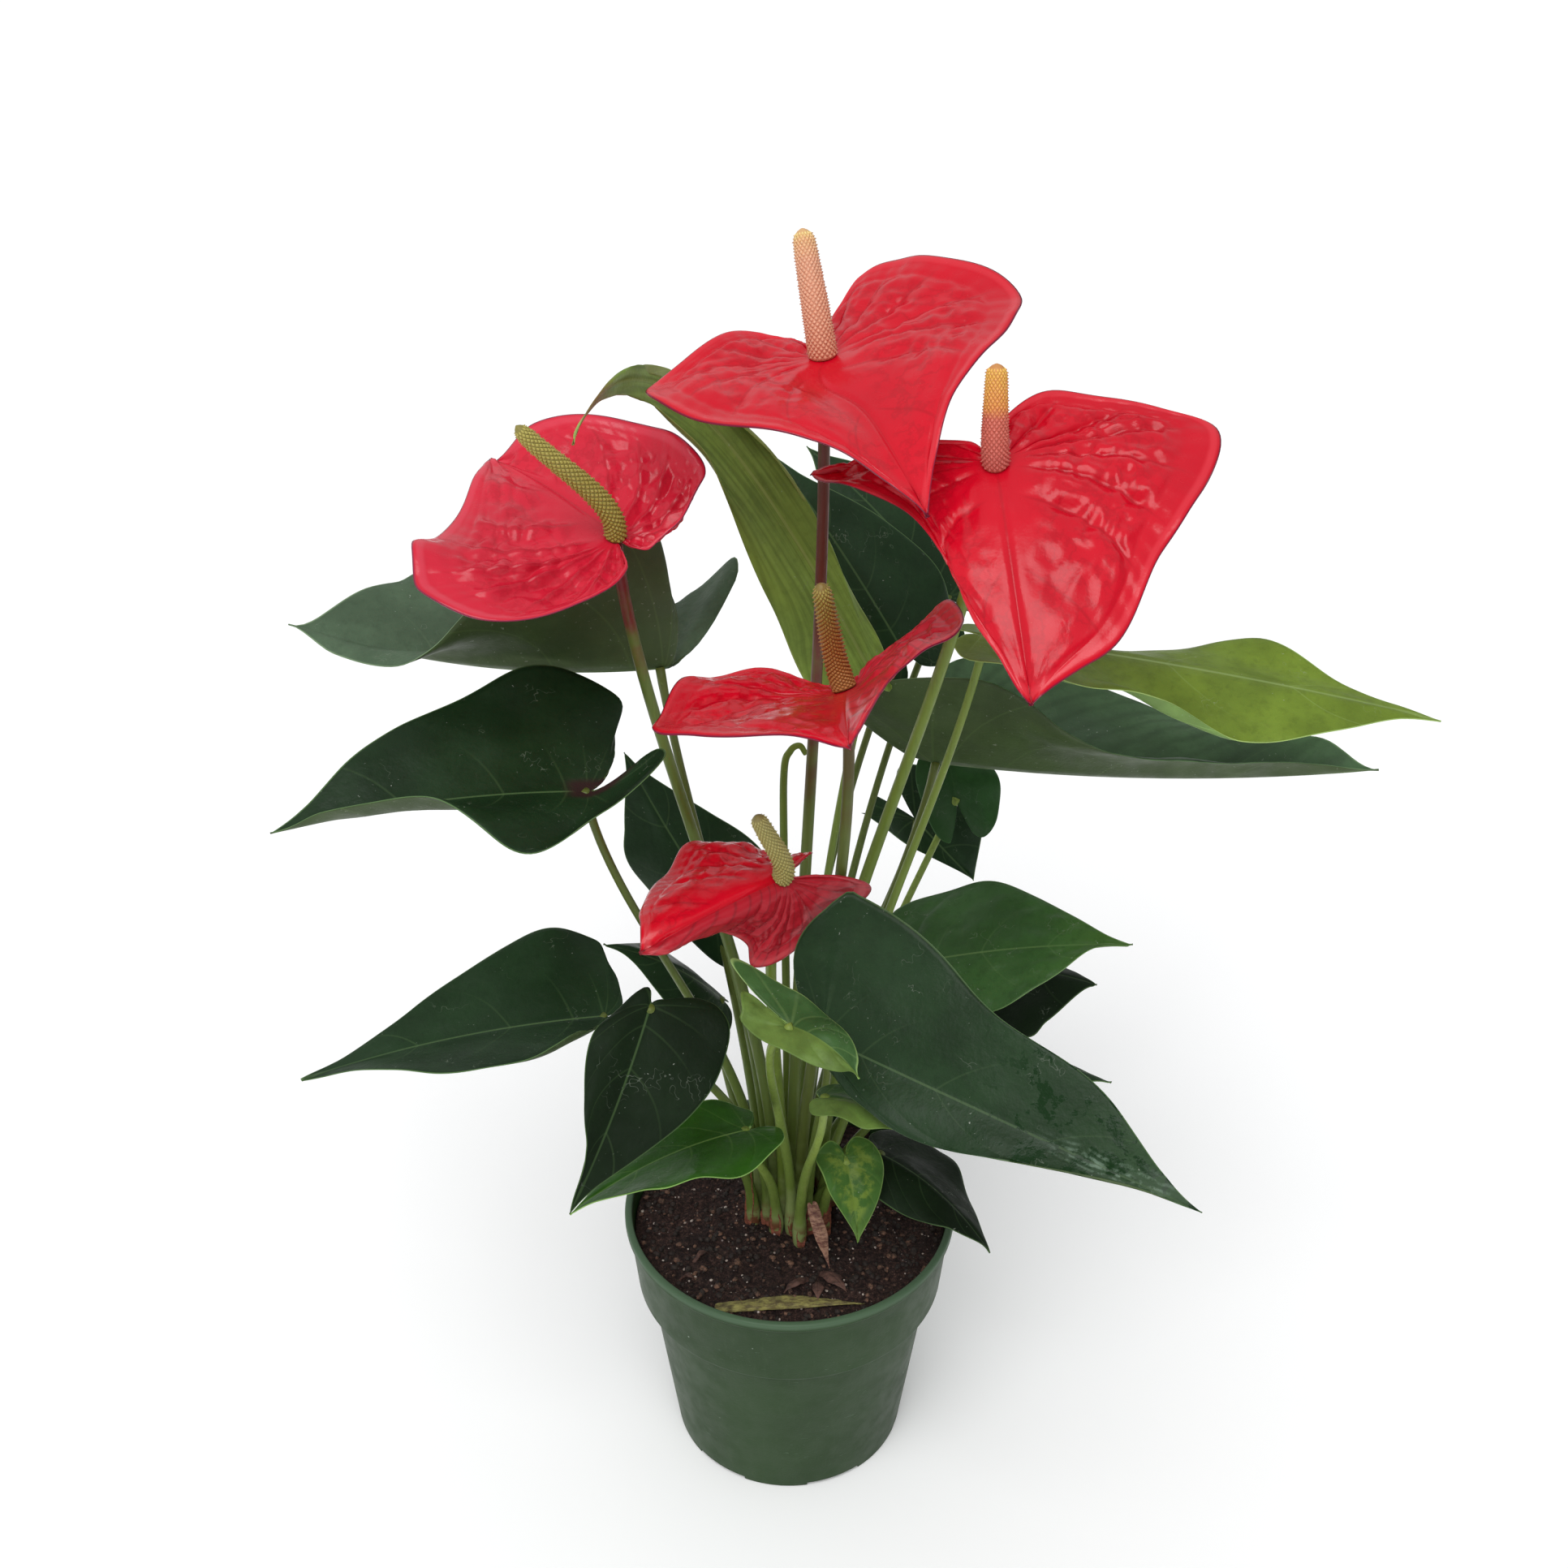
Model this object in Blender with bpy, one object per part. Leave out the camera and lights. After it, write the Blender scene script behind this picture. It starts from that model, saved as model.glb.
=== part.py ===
"""Potted anthurium: nursery pot, soil, leaves and five blooms, standing on Z = 0."""
import math
from dataclasses import dataclass

import bpy
from mathutils import Matrix, Vector, noise

MM = 0.001  # every size below is in millimetres
GAP = 0.3  # between pieces that touch

# Pot
POT_HEIGHT = 102.0
LIP_RADIUS = 60.0
LIP_HEIGHT = 3.4
COLLAR_TOP_RADIUS = 58.6
COLLAR_BOTTOM_RADIUS = 56.0
COLLAR_BOTTOM_Z = 71.0
BODY_TOP_RADIUS = 52.0
BASE_RADIUS = 43.0
WALL = 1.3
FLOOR_THICKNESS = 1.6
FOOT_HEIGHT = 1.6
FOOT_RING_INNER = 36.0
BOSS_RADIUS = 25.0
FOOT_COUNT = 6
NOTCH_WIDTH = 21.0
NOTCH_DEPTH = 14.0
FIRST_NOTCH_ANGLE = -67.0
DRAIN_RADIUS = 3.5
DRAIN_RING_RADIUS = 30.5
DRAIN_SIDES = 8
DRAIN_TURN = 30.0
CLEAR = 1.0  # how far a cutter reaches past what it cuts
POT_SEGMENTS = 36

# Soil
SOIL_EDGE_Z = 94.0
SOIL_CROWN_RISE = 4.0
SOIL_CROWN_SPREAD = 26.0
SOIL_BUMP = 1.1
SOIL_RINGS = (9.0, 21.0, 34.0, 47.0)
SOIL_BUMP_SIZE = 9.0
SOIL_SHOULDER = 1.5
SOIL_FOOT_CUT = (1.2, 2.0)  # inward and upward, round the soil's lower edge
STEM_DEPTH = 12.0
HOLE_SIDES = 8

# Crown: stems stand in a staggered grid of cells
CROWN_X = -2.0
CROWN_Y = 6.0
CELL = 5.6
ROW_STEP = 4.9

# Leaves and spathes
BLADE = 0.8
LEAF_STATIONS = 10
LEAF_COLUMNS = (0.36, 0.7, 1.0)
SMALL_LEAF_STATIONS = 9
SMALL_LEAF_COLUMNS = (0.5, 1.0)
SPATHE_STATIONS = 13
SPATHE_COLUMNS = (0.4, 0.72, 1.0)
HUB = 4.2
LOBE_SHARE = 0.12
OUTLINE_STEPS = 10
RIB_SPACING = 1.15  # above 1, the rays from the midrib stand closer near the joint
FAN_START = math.radians(168)
FAN_STEP = math.radians(7)
SLIMMEST = 0.5
EDGE_REACH = 1.5  # above 1, a moved margin bends the blade mostly near its edge

# Stems
PETIOLE_FOOT = 2.0
PETIOLE_TOP = 1.3
STALK_FOOT = 2.2
STALK_TOP = 1.8
STEM_SIDES = 6
STEM_STEPS = 6
STEM_RISE = 4.0  # height above the soil at which a stem starts to curve
STEM_SLIMMING = 1.6  # above 1, a stem has its top radius before its top
FOOT_PULL = 0.35
TOP_PULL = 0.28
TOP_LIFT = 0.5
PETIOLE_SEAT = (0.8, 0.5)  # along the midrib and above it

# Spadix
SPADIX_SIDES = 10
SPADIX_ROWS = 15
FLORET_RELIEF = 0.09
SPADIX_TAPER = 0.30
SPADIX_SWELL = 1.6  # above 1, the spadix keeps its thickness further up
SPADIX_ROUND_FROM = 0.9
SPADIX_TIP_SHARE = 0.35
SPADIX_PULL = (0.3, 0.35)  # of its length, at the base and at the tip

# Colours as linear red, green, blue
DARK_GREEN = (0.024, 0.058, 0.026)
MID_GREEN = (0.045, 0.13, 0.04)
BRIGHT_GREEN = (0.07, 0.22, 0.03)
LIME_GREEN = (0.20, 0.32, 0.06)
OLIVE_GREEN = (0.15, 0.22, 0.06)
STEM_GREEN = (0.13, 0.20, 0.04)
STEM_BROWN = (0.12, 0.05, 0.03)
SPATHE_RED = (0.60, 0.010, 0.016)
SPATHE_PINK = (0.62, 0.03, 0.055)
POT_GREEN = (0.052, 0.115, 0.06)
SOIL_BROWN = (0.028, 0.018, 0.014)
STRAW = (0.30, 0.20, 0.09)
DRY_BROWN = (0.20, 0.09, 0.06)

# Surface roughness
LEAF_ROUGHNESS = 0.35
SPATHE_ROUGHNESS = 0.25
SPADIX_ROUGHNESS = 0.6
STEM_ROUGHNESS = 0.45
DRY_ROUGHNESS = 0.8
POT_ROUGHNESS = 0.5
SOIL_ROUGH_LOOK = 0.95


@dataclass
class Blade:
    """A heart-shaped blade: its joint, its tip and the widest place of each half.

    Seen on its upper face with the tip pointing down, left and right are as named.
    Full is 0 for a pointed leaf and 1 for a broad spathe.
    """
    joint: tuple
    tip: tuple
    left: tuple
    right: tuple
    lobes: tuple = (24.0, 24.0)
    bow: float = 4.0
    cup: tuple = (-2.0, -2.0)
    wave: float = 1.5
    waves: float = 2.0
    crest: tuple = None
    taper: float = 1.0
    phase: float = 0.0
    full: float = 0.0


@dataclass
class Leaf:
    """A leaf: its blade, the crown cell of its petiole, its colour and its size class."""
    name: str
    blade: Blade
    cell: tuple
    colour: tuple = DARK_GREEN
    small: bool = False
    hook: tuple = ()


@dataclass
class Bloom:
    """A bloom: its spathe, the tip of its spadix and the crown cell of its stalk."""
    name: str
    spathe: Blade
    spadix_tip: tuple
    cell: tuple
    spadix_radius: float = 3.3
    spadix_colour: tuple = (0.6, 0.3, 0.15)
    colour: tuple = SPATHE_RED
    stalk_colour: tuple = STEM_GREEN


BLOOMS = (
    Bloom("top", Blade((9, 0, 420), (35, -65, 400), (-38, -20, 419), (66, 8, 434), (26, 36), 5.0, (2, 4)),
          (3, 12, 453), (0, -1), 4.1, (0.72, 0.33, 0.22), SPATHE_RED, STEM_BROWN),
    Bloom("right", Blade((55, -37, 403), (62, -88, 357), (5, -20, 390), (118, -25, 406),
                         (14, 24), 5.0, full=0.55),
          (54, -34, 430), (1, 0), 3.8, (0.72, 0.30, 0.20), SPATHE_RED, STEM_GREEN),
    Bloom("left", Blade((-50, -20, 374), (-90, 21, 382), (-24, 0, 384), (-105, -42, 380),
                        (22, 22), 3.0, (9, -4), full=0.5),
          (-74, -32, 412), (-1, -1), 3.2, (0.30, 0.28, 0.04), SPATHE_PINK, STEM_BROWN),
    Bloom("centre", Blade((16, -30, 330), (15, -85, 344), (-38, -60, 334), (47, -45, 364),
                          (16, 12), 2.0, full=0.4),
          (8, -42, 370), (1, -2), 3.6, (0.33, 0.17, 0.04), SPATHE_RED, STEM_BROWN),
    Bloom("low", Blade((-3, -40, 271), (-44, -70, 265), (-29, -10, 265), (-11, -42, 238),
                       (20, 16), 3.0, full=0.9),
          (-10, -44, 296), (0, -2), 3.3, (0.38, 0.34, 0.08), SPATHE_RED, STEM_GREEN),
)

LEAVES = (
    Leaf("lime_right", Blade((60, 12, 327), (199, -10, 309), (105, -26, 315), (100, 38, 312), (10, 10), 2.0,
                             (-2, 0), 7.0, 1.3, phase=0.54),
         (2, 1), LIME_GREEN),
    Leaf("long_right", Blade((49, 42, 264), (195, 25, 271), (66, 18, 305), (103, 80, 280), (12, 6), -4.0),
         (1, 1)),
    Leaf("upper_left", Blade((-40, 10, 317), (-152, 0, 337), (-107, 45, 346), (-62, -2, 372),
                             (30, 22), -6.0),
         (-1, 0)),
    Leaf("middle_left", Blade((-60, -40, 302), (-149, -60, 300), (-83, -5, 321), (-75, -80, 306), (24, 22)),
         (-2, -1)),
    Leaf("lower_left", Blade((-60, -30, 211), (-155, -50, 201), (-89, -5, 226), (-82, -68, 222), (20, 14)),
         (-2, -2)),
    Leaf("front_hanging", Blade((-42, -65, 242), (-65, -105, 196), (-60, -90, 231), (-19, -70, 230),
                                (12, 12)),
         (-1, -2)),
    Leaf("front_bright", Blade((-14, -45, 176), (-68, -85, 177), (-38, -45, 175), (-26, -85, 186), (12, 12)),
         (-1, -3), BRIGHT_GREEN),
    Leaf("behind_left_low", Blade((-24, 22, 178), (-63, 5, 214), (-42, 42, 182), (-32, 8, 168), (10, 10)),
         (-2, 0), DARK_GREEN, True),
    Leaf("young_curled", Blade((0, -75, 242), (20, -88, 233), (-9, -82, 245), (10, -66, 247), (8, 8)),
         (0, -3), BRIGHT_GREEN, True, (16, 2, 6)),
    Leaf("front_large", Blade((10, -55, 222), (118, -115, 206), (38, -88, 211), (18, -35, 259), (6, 12)),
         (1, -3)),
    Leaf("green_right", Blade((40, 30, 187), (119, 20, 203), (72, 5, 190), (68, 56, 206), (12, 8)),
         (2, -1), MID_GREEN),
    Leaf("back_right_low", Blade((67, 70, 153), (114, 50, 163), (85, 30, 154), (95, 90, 146), (12, 12)),
         (2, 3), DARK_GREEN, True),
    Leaf("hidden_right", Blade((51, 8, 168), (110, -12, 168), (69, -26, 174), (80, 28, 160), (12, 8)),
         (3, 0), DARK_GREEN, True),
    Leaf("rim_right", Blade((31, -18, 142), (68, -45, 121), (41, -42, 134), (52, 0, 122), (3, 8)),
         (2, -2)),
    Leaf("young_folded", Blade((10, -62, 204), (44, -78, 198), (19, -78, 206), (23, -56, 199), (3, 3)),
         (1, -4), MID_GREEN, True),
    Leaf("young_heart", Blade((19, -31, 151), (23, -44, 125), (10, -36, 152), (32, -33, 149), (6, 6)),
         (2, -3), MID_GREEN, True),
    Leaf("behind_left", Blade((-27, 40, 208), (-58, 60, 257), (-9, 45, 230), (-56, 45, 218), (20, 28)),
         (-2, 1), DARK_GREEN, True),
    Leaf("tall_olive", Blade((26, 25, 307), (-57, -50, 414), (14, 46, 345), (-7, 26, 343), (12, 12), 0.0,
                             (0, 0), 0.5, crest=(-30, 30, 395), taper=0.7), (1, 2), OLIVE_GREEN),
    Leaf("behind_dark", Blade((39, 75, 290), (-5, 100, 351), (51, 100, 312), (2, 82, 305), (14, 14)),
         (0, 2), DARK_GREEN, True),
    Leaf("behind_green", Blade((62, 85, 222), (55, 115, 242), (78, 90, 228), (47, 90, 228), (14, 14)),
         (2, 2), MID_GREEN, True),
    Leaf("behind_right", Blade((49, 108, 199), (72, 102, 175), (28, 110, 201), (77, 114, 199), (18, 18)),
         (0, 3), DARK_GREEN, True),
    Leaf("behind_grey", Blade((57, 100, 298), (6, 125, 345), (62, 125, 323), (16, 105, 326), (14, 14)),
         (1, 3), DARK_GREEN, True),
)

# Where a half's margin leaves its even outline, for the left and the right half: share of the outline,
# then how far it moves along x, how far it is lifted and, where it matters, how far it comes forward
EDGES = {
    "top": (((0.3, 9, 1), (0.5, -2, -4), (0.8, -1, 3)),
            ((0.2, 5, 2), (0.4, -8, 4), (0.55, -2, 0), (0.85, -3, 8))),
    "right": (((0.2, -2, 2), (0.4, -1, 8), (0.65, 9, 17), (0.85, 5, 8)),
              ((0.2, -6, 1), (0.5, -1, 4), (0.7, -1, 3), (0.9, 6, 0))),
    "left": (((0.1, -2, 2), (0.2, -7, 9), (0.4, -4, 3), (0.65, 1, 6), (0.9, -1, 6)),
             ((0.2, -4, 3), (0.35, -10, 0), (0.5, -7, -1), (0.6, 2, 1), (0.77, 7, -3), (0.9, 4, 0))),
    "centre": (((0.3, 4, 8), (0.4, 1, 9), (0.6, -1, 2), (0.85, 0, 2)),
               ((0.2, -3, 2), (0.4, 0, 3), (0.58, -1, -2), (0.75, -2, 3), (0.9, 0, 3))),
    "low": (((0.1, 3, 0), (0.25, -3, -6), (0.45, 1, -1), (0.75, -1, -2)),
            ((0.2, 16, 1, -6), (0.35, 6, 1), (0.5, 0, 1), (0.62, 5, 9), (0.8, 3, 12))),
    "lime_right": (((0.2, 5, 6), (0.35, 4, 5), (0.5, 5, 10), (0.62, 6, 0), (0.8, 1, -2)),
                   ((0.3, 3, -5), (0.55, 2, -4), (0.67, 2, 7), (0.85, 0, 2))),
    "long_right": (((0.1, -14, 5), (0.35, -4, 3), (0.62, -13, -7), (0.8, -9, -2), (0.9, -2, 1)),
                   ((0.25, 2, 6), (0.4, -2, 1), (0.57, 1, -6), (0.8, 3, 0), (0.9, 3, 5))),
    "upper_left": (((0.1, -8, 3), (0.2, -2, 12), (0.3, 2, -5), (0.4, 11, -11), (0.5, 2, -2),
                    (0.7, -3, -8), (0.9, -1, 1)),
                   ((0.1, -14, 1), (0.2, -20, 2), (0.4, 0, 3), (0.6, -4, -10), (0.83, 1, -17),
                    (0.93, 0, -8))),
    "middle_left": (((0.1, -9, 2), (0.2, -13, 1), (0.3, -1, 2), (0.4, 0, 4), (0.6, 0, 1), (0.85, 0, 4)),
                    ((0.15, 0, 15), (0.3, -10, 8), (0.4, -8, 2), (0.7, 1, 12), (0.9, 0, 5))),
    "lower_left": (((0.2, -15, 0), (0.3, -6, 0), (0.45, 3, 1), (0.85, 4, -1)),
                   ((0.2, -18, 3), (0.4, -5, 5), (0.6, 2, 0), (0.8, 3, 1))),
    "front_hanging": (((0.2, -2, -9), (0.4, -5, -3), (0.6, 1, -4), (0.8, 3, -2)),
                      ((0.1, 0, -5), (0.3, -1, 0), (0.55, 4, 0), (0.8, 2, 0))),
    "front_bright": (((0.1, -5, 1), (0.3, 0, 6), (0.5, 1, 6), (0.7, -1, 1)),
                     ((0.2, -6, 2), (0.4, -4, 0), (0.7, -5, 4), (0.9, -2, 1))),
    "young_curled": (((0.2, -4, 9), (0.5, 0, -1), (0.7, 4, -4)),
                     ((0.2, -14, 12), (0.4, -6, 1), (0.85, 2, -2))),
    "front_large": (((0.1, 9, -1), (0.2, 6, -2), (0.35, 0, -1), (0.85, 0, 2)),
                    ((0.2, -5, 4, 4), (0.3, 6, 1, 4), (0.55, 3, -2), (0.8, 5, 4), (0.9, 4, 0))),
    "green_right": (((0.8, -4, 0), (0.9, -3, 2)), ()),
    "hidden_right": ((), ((0.5, -4, -2), (0.7, -2, -5), (0.9, 1, -3))),
    "rim_right": (((0.3, 0, -3), (0.6, 4, 0)), ((0.5, 4, 4), (0.7, 2, 1))),
    "young_folded": (((0.55, 3, 1),), ((0.4, -2, 4), (0.7, -2, -1))),
    "behind_left": (((0.55, 0, -4), (0.75, -2, -2)), ()),
    "tall_olive": (((0.1, -8, 12), (0.2, -4, 1), (0.45, 5, -5), (0.7, 0, 0)),
                   ((0.1, -16, 13), (0.3, -5, 4), (0.55, 4, 3), (0.7, 0, 0))),
}
EVEN = ((), ())
LIFT = (0.0, 0.6, 1.0)  # a lifted margin also moves back
FORWARD = (0.0, -1.0, 0.6)  # one that comes forward also rises

BUD_CELL = (0, 0)
BUD_ROUTE = ((-1, 10, 160), (-2, 11, 245), (-2, 11, 278), (0, 11, 286), (3, 11, 288), (5, 11, 285))
BUD_RADIUS = 1.6
BUD_TIP_RADIUS = 0.9

DRY_SHEATH = Blade((8, -19, 118), (14, -30, 99), (6, -23, 110), (15, -22, 110),
                   (1.5, 1.5), 1.0, (1, 1), 0.3)
DEAD_LEAF = Blade((-25, -46, 94.95), (26, -43, 94.95), (0, -45.5, 94.95), (0, -40, 95.5),
                  (1, 1), 1.2, (0, 0), 0.3)


def clear_scene():
    """Remove every object that the scene starts with."""
    for item in list(bpy.data.objects):
        bpy.data.objects.remove(item, do_unlink=True)


def material(name, colour, roughness):
    """A plain Principled material."""
    result = bpy.data.materials.new(name)
    result.use_nodes = True
    shader = result.node_tree.nodes["Principled BSDF"]
    shader.inputs["Base Color"].default_value = (*colour, 1.0)
    shader.inputs["Roughness"].default_value = roughness
    shader.inputs["Metallic"].default_value = 0.0
    return result


def solid(name, points, faces, surface=None):
    """A smooth-shaded object from points in millimetres and faces that point outward."""
    mesh = bpy.data.meshes.new(name)
    mesh.from_pydata([Vector(point) * MM for point in points], [], faces)
    mesh.update()
    for polygon in mesh.polygons:
        polygon.use_smooth = True
    result = bpy.data.objects.new(name, mesh)
    bpy.context.scene.collection.objects.link(result)
    if surface:
        mesh.materials.append(surface)
    return result


def combine(target, tool, operation):
    """Apply a Boolean of target with tool and remove tool."""
    modifier = target.modifiers.new("Boolean", "BOOLEAN")
    modifier.operation = operation
    modifier.solver = "EXACT"
    modifier.object = tool
    graph = bpy.context.evaluated_depsgraph_get()
    mesh = bpy.data.meshes.new_from_object(target.evaluated_get(graph))
    target.modifiers.clear()
    target.data = mesh
    bpy.data.objects.remove(tool, do_unlink=True)
    for polygon in mesh.polygons:
        polygon.use_smooth = True


def catmull_rom(knots, steps):
    """A smooth line through the knots."""
    ends = [2 * knots[0] - knots[1]] + list(knots) + [2 * knots[-1] - knots[-2]]
    line = []
    for i in range(1, len(ends) - 2):
        a, b, c, d = ends[i - 1:i + 3]
        for step in range(steps):
            t = step / steps
            line.append(0.5 * (2 * b + (c - a) * t + (2 * a - 5 * b + 4 * c - d) * t ** 2
                               + (3 * b - a - 3 * c + d) * t ** 3))
    line.append(knots[-1])
    return line


def resample(line, count):
    """The line cut into count equal lengths."""
    lengths = [0.0]
    for a, b in zip(line, line[1:]):
        lengths.append(lengths[-1] + (b - a).length)
    result = []
    i = 0
    for step in range(count + 1):
        target = lengths[-1] * step / count
        while i < len(line) - 2 and lengths[i + 1] < target:
            i += 1
        share = (target - lengths[i]) / (lengths[i + 1] - lengths[i])
        result.append(line[i].lerp(line[i + 1], min(1.0, share)))
    return result


def half_outline(length, wide_at, width, lobe, stations, taper, full):
    """Points (along, out) from the sinus round the lobe and the widest place to the tip."""
    front = length - wide_at
    knots = [Vector(pair) for pair in (
        (0.0, 0.0),
        (-0.62 * lobe, 0.10 * width),
        (-lobe, 0.42 * width),
        (-0.62 * lobe + 0.12 * wide_at, 0.82 * width),
        (wide_at, width),
        (wide_at + 0.40 * taper * front, (0.69 + 0.15 * full) * width),
        (wide_at + 0.78 * taper * front, (0.20 + 0.24 * full) * width),
        (wide_at + (0.5 + 0.39 * taper) * front, (0.08 + 0.13 * full) * width),
        (length, 0.0))]
    return resample(catmull_rom(knots, OUTLINE_STEPS), stations)


def open_fan(outline, count):
    """Turn the first points apart about the joint, so that no two rays to them cross."""
    limit = FAN_START
    result = [outline[0]]
    for i, point in enumerate(outline[1:-1], 1):
        if i <= count:
            angle = min(math.atan2(point.y, point.x), limit)
            point = Vector((math.cos(angle), math.sin(angle))) * point.length
            limit = angle - FAN_STEP
        result.append(Vector((point.x, max(point.y, SLIMMEST))))
    return result + [outline[-1]]


class BladeFrame:
    """Where a point of the flat outline lies in space."""

    def __init__(self, blade):
        self.blade = blade
        self.joint = Vector(blade.joint)
        chord = Vector(blade.tip) - self.joint
        self.length = chord.length
        self.ahead = chord.normalized()
        across = Vector(blade.right) - Vector(blade.left)
        self.up = self.ahead.cross(across).normalized()
        self.side = self.up.cross(self.ahead)
        if blade.crest:
            self.bend = Vector(blade.crest) - (self.joint + chord * 0.5)
        else:
            self.bend = self.up * blade.bow
        self.halves = [self.half(Vector(blade.left), -1), self.half(Vector(blade.right), 1)]

    def half(self, widest, sign):
        """Where the half is widest, how wide, and its fold above the midrib's plane."""
        offset = widest - self.joint
        along = offset.dot(self.ahead)
        share = min(max(along / self.length, 0.0), 1.0)
        offset = offset - self.bend * 4 * share * (1 - share)
        out = sign * offset.dot(self.side)
        rise = offset.dot(self.up)
        return along, math.hypot(out, rise), math.atan2(rise, out)

    def midrib(self, along):
        """Place, direction and upper normal of the midrib."""
        t = along / self.length
        slope = self.ahead + self.bend * (4 * (1 - 2 * max(t, 0.0)) / self.length)
        if t < 0:
            place = self.joint + slope * along
        else:
            place = self.joint + self.ahead * along + self.bend * (4 * t * (1 - t))
        slope = slope.normalized()
        return place, slope, slope.cross(self.side).normalized()

    def point(self, index, along, out, hub):
        """The place of an outline point of the left (0) or right (1) half."""
        sign = (-1, 1)[index]
        width, fold = self.halves[index][1:]
        place, slope, up = self.midrib(along)
        flat = min(out, hub)
        outward = self.side * (sign * math.cos(fold)) + up * math.sin(fold)
        lifted = up * math.cos(fold) - self.side * (sign * math.sin(fold))
        share = max(0.0, out - hub) / width
        turn = self.blade.phase + 2.0 * index
        ripple = math.sin(self.blade.waves * math.tau * along / self.length + turn)
        height = self.blade.cup[index] * share ** 2 + self.blade.wave * share ** 2 * ripple
        return place + self.side * (sign * flat) + outward * (out - flat) + lifted * height


def edge_shift(knots, share):
    """How far the margin is moved at that share of the outline."""
    if not knots:
        return Vector()
    knots = [(0.0, 0.0, 0.0), *knots, (1.0, 0.0, 0.0)]
    places = [Vector((*knot[1:], 0.0)[:3]) for knot in knots]
    slopes = [Vector()]
    for i in range(1, len(knots) - 1):
        before, after = knots[i][0] - knots[i - 1][0], knots[i + 1][0] - knots[i][0]
        arriving = (places[i] - places[i - 1]) / before
        leaving = (places[i + 1] - places[i]) / after
        slopes.append((arriving * after + leaving * before) / (before + after))
    slopes.append(Vector())
    i = max(k for k in range(len(knots) - 1) if knots[k][0] <= share)
    step = knots[i + 1][0] - knots[i][0]
    t = (share - knots[i][0]) / step
    ends = places[i] * (1 + 2 * t) * (1 - t) ** 2 + places[i + 1] * t * t * (3 - 2 * t)
    across, lift, forward = ends + step * t * (1 - t) * (slopes[i] * (1 - t) - slopes[i + 1] * t)
    return Vector((across, 0.0, 0.0)) + Vector(LIFT) * lift + Vector(FORWARD) * forward


def blade_surface(blade, stations, columns, hub=0.0, bend=EVEN):
    """Points and triangles of the blade's middle surface, and its boundary loop."""
    frame = BladeFrame(blade)
    outlines = []
    for (wide_at, width, _), lobe in zip(frame.halves, blade.lobes):
        outlines.append(half_outline(frame.length, wide_at, width, lobe, stations, blade.taper,
                                     blade.full))
    behind = [sum(1 for point in line[1:] if point.x < LOBE_SHARE * frame.length) for line in outlines]
    lobe_end = max(2, *behind)
    roots = [max(0.0, (i - lobe_end) / (stations - lobe_end)) ** RIB_SPACING * frame.length
             for i in range(stations + 1)]
    points = [frame.midrib(0.0)[0]]
    rib = [0] * (lobe_end + 1)
    for i in range(lobe_end + 1, stations + 1):
        rib.append(len(points))
        points.append(frame.midrib(roots[i])[0])
    triangles = []
    edges = []
    for index in (0, 1):
        outline = open_fan(outlines[index], lobe_end)
        rows = []
        for i in range(1, stations):
            row = [rib[i]]
            root = Vector((roots[i], 0.0))
            reach = outline[i] - root
            shares = list(columns)
            if hub:
                shares.insert(0, min(hub / reach.length, 0.5 * columns[0]))
            moved = edge_shift(bend[index], i / stations)
            for share in shares:
                spot = root + reach * share
                row.append(len(points))
                points.append(frame.point(index, spot.x, spot.y, hub) + moved * share ** EDGE_REACH)
            rows.append(row)
        rows.append([rib[-1]] * len(rows[0]))
        for near, far in zip(rows, rows[1:]):
            for j in range(len(near) - 1):
                for corner in ((near[j], far[j], far[j + 1]), (near[j], far[j + 1], near[j + 1])):
                    if len(set(corner)) == 3:
                        triangles.append(corner if index else corner[::-1])
        edges.append(rows[0] + [row[-1] for row in rows[1:]])
    loop = edges[1] + edges[0][-2:0:-1]
    return points, triangles, loop


def thicken(points, triangles, loop, thickness):
    """A closed shell round the surface, split alike on both faces."""
    normals = [Vector() for _ in points]
    for a, b, c in triangles:
        face = (points[b] - points[a]).cross(points[c] - points[a])
        for corner in (a, b, c):
            normals[corner] += face
    offsets = [normal.normalized() * (thickness / 2) for normal in normals]
    count = len(points)
    shell = [p + n for p, n in zip(points, offsets)] + [p - n for p, n in zip(points, offsets)]
    faces = list(triangles)
    faces += [(a + count, c + count, b + count) for a, b, c in triangles]
    for a, b in zip(loop, loop[1:] + loop[:1]):
        faces.append((a, b, b + count))
        faces.append((a, b + count, a + count))
    return shell, faces


def bezier(a, b, c, d, steps):
    """Points along a cubic curve."""
    line = []
    for step in range(steps + 1):
        t = step / steps
        line.append(a * (1 - t) ** 3 + b * 3 * t * (1 - t) ** 2 + c * 3 * t * t * (1 - t) + d * t ** 3)
    return line


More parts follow.
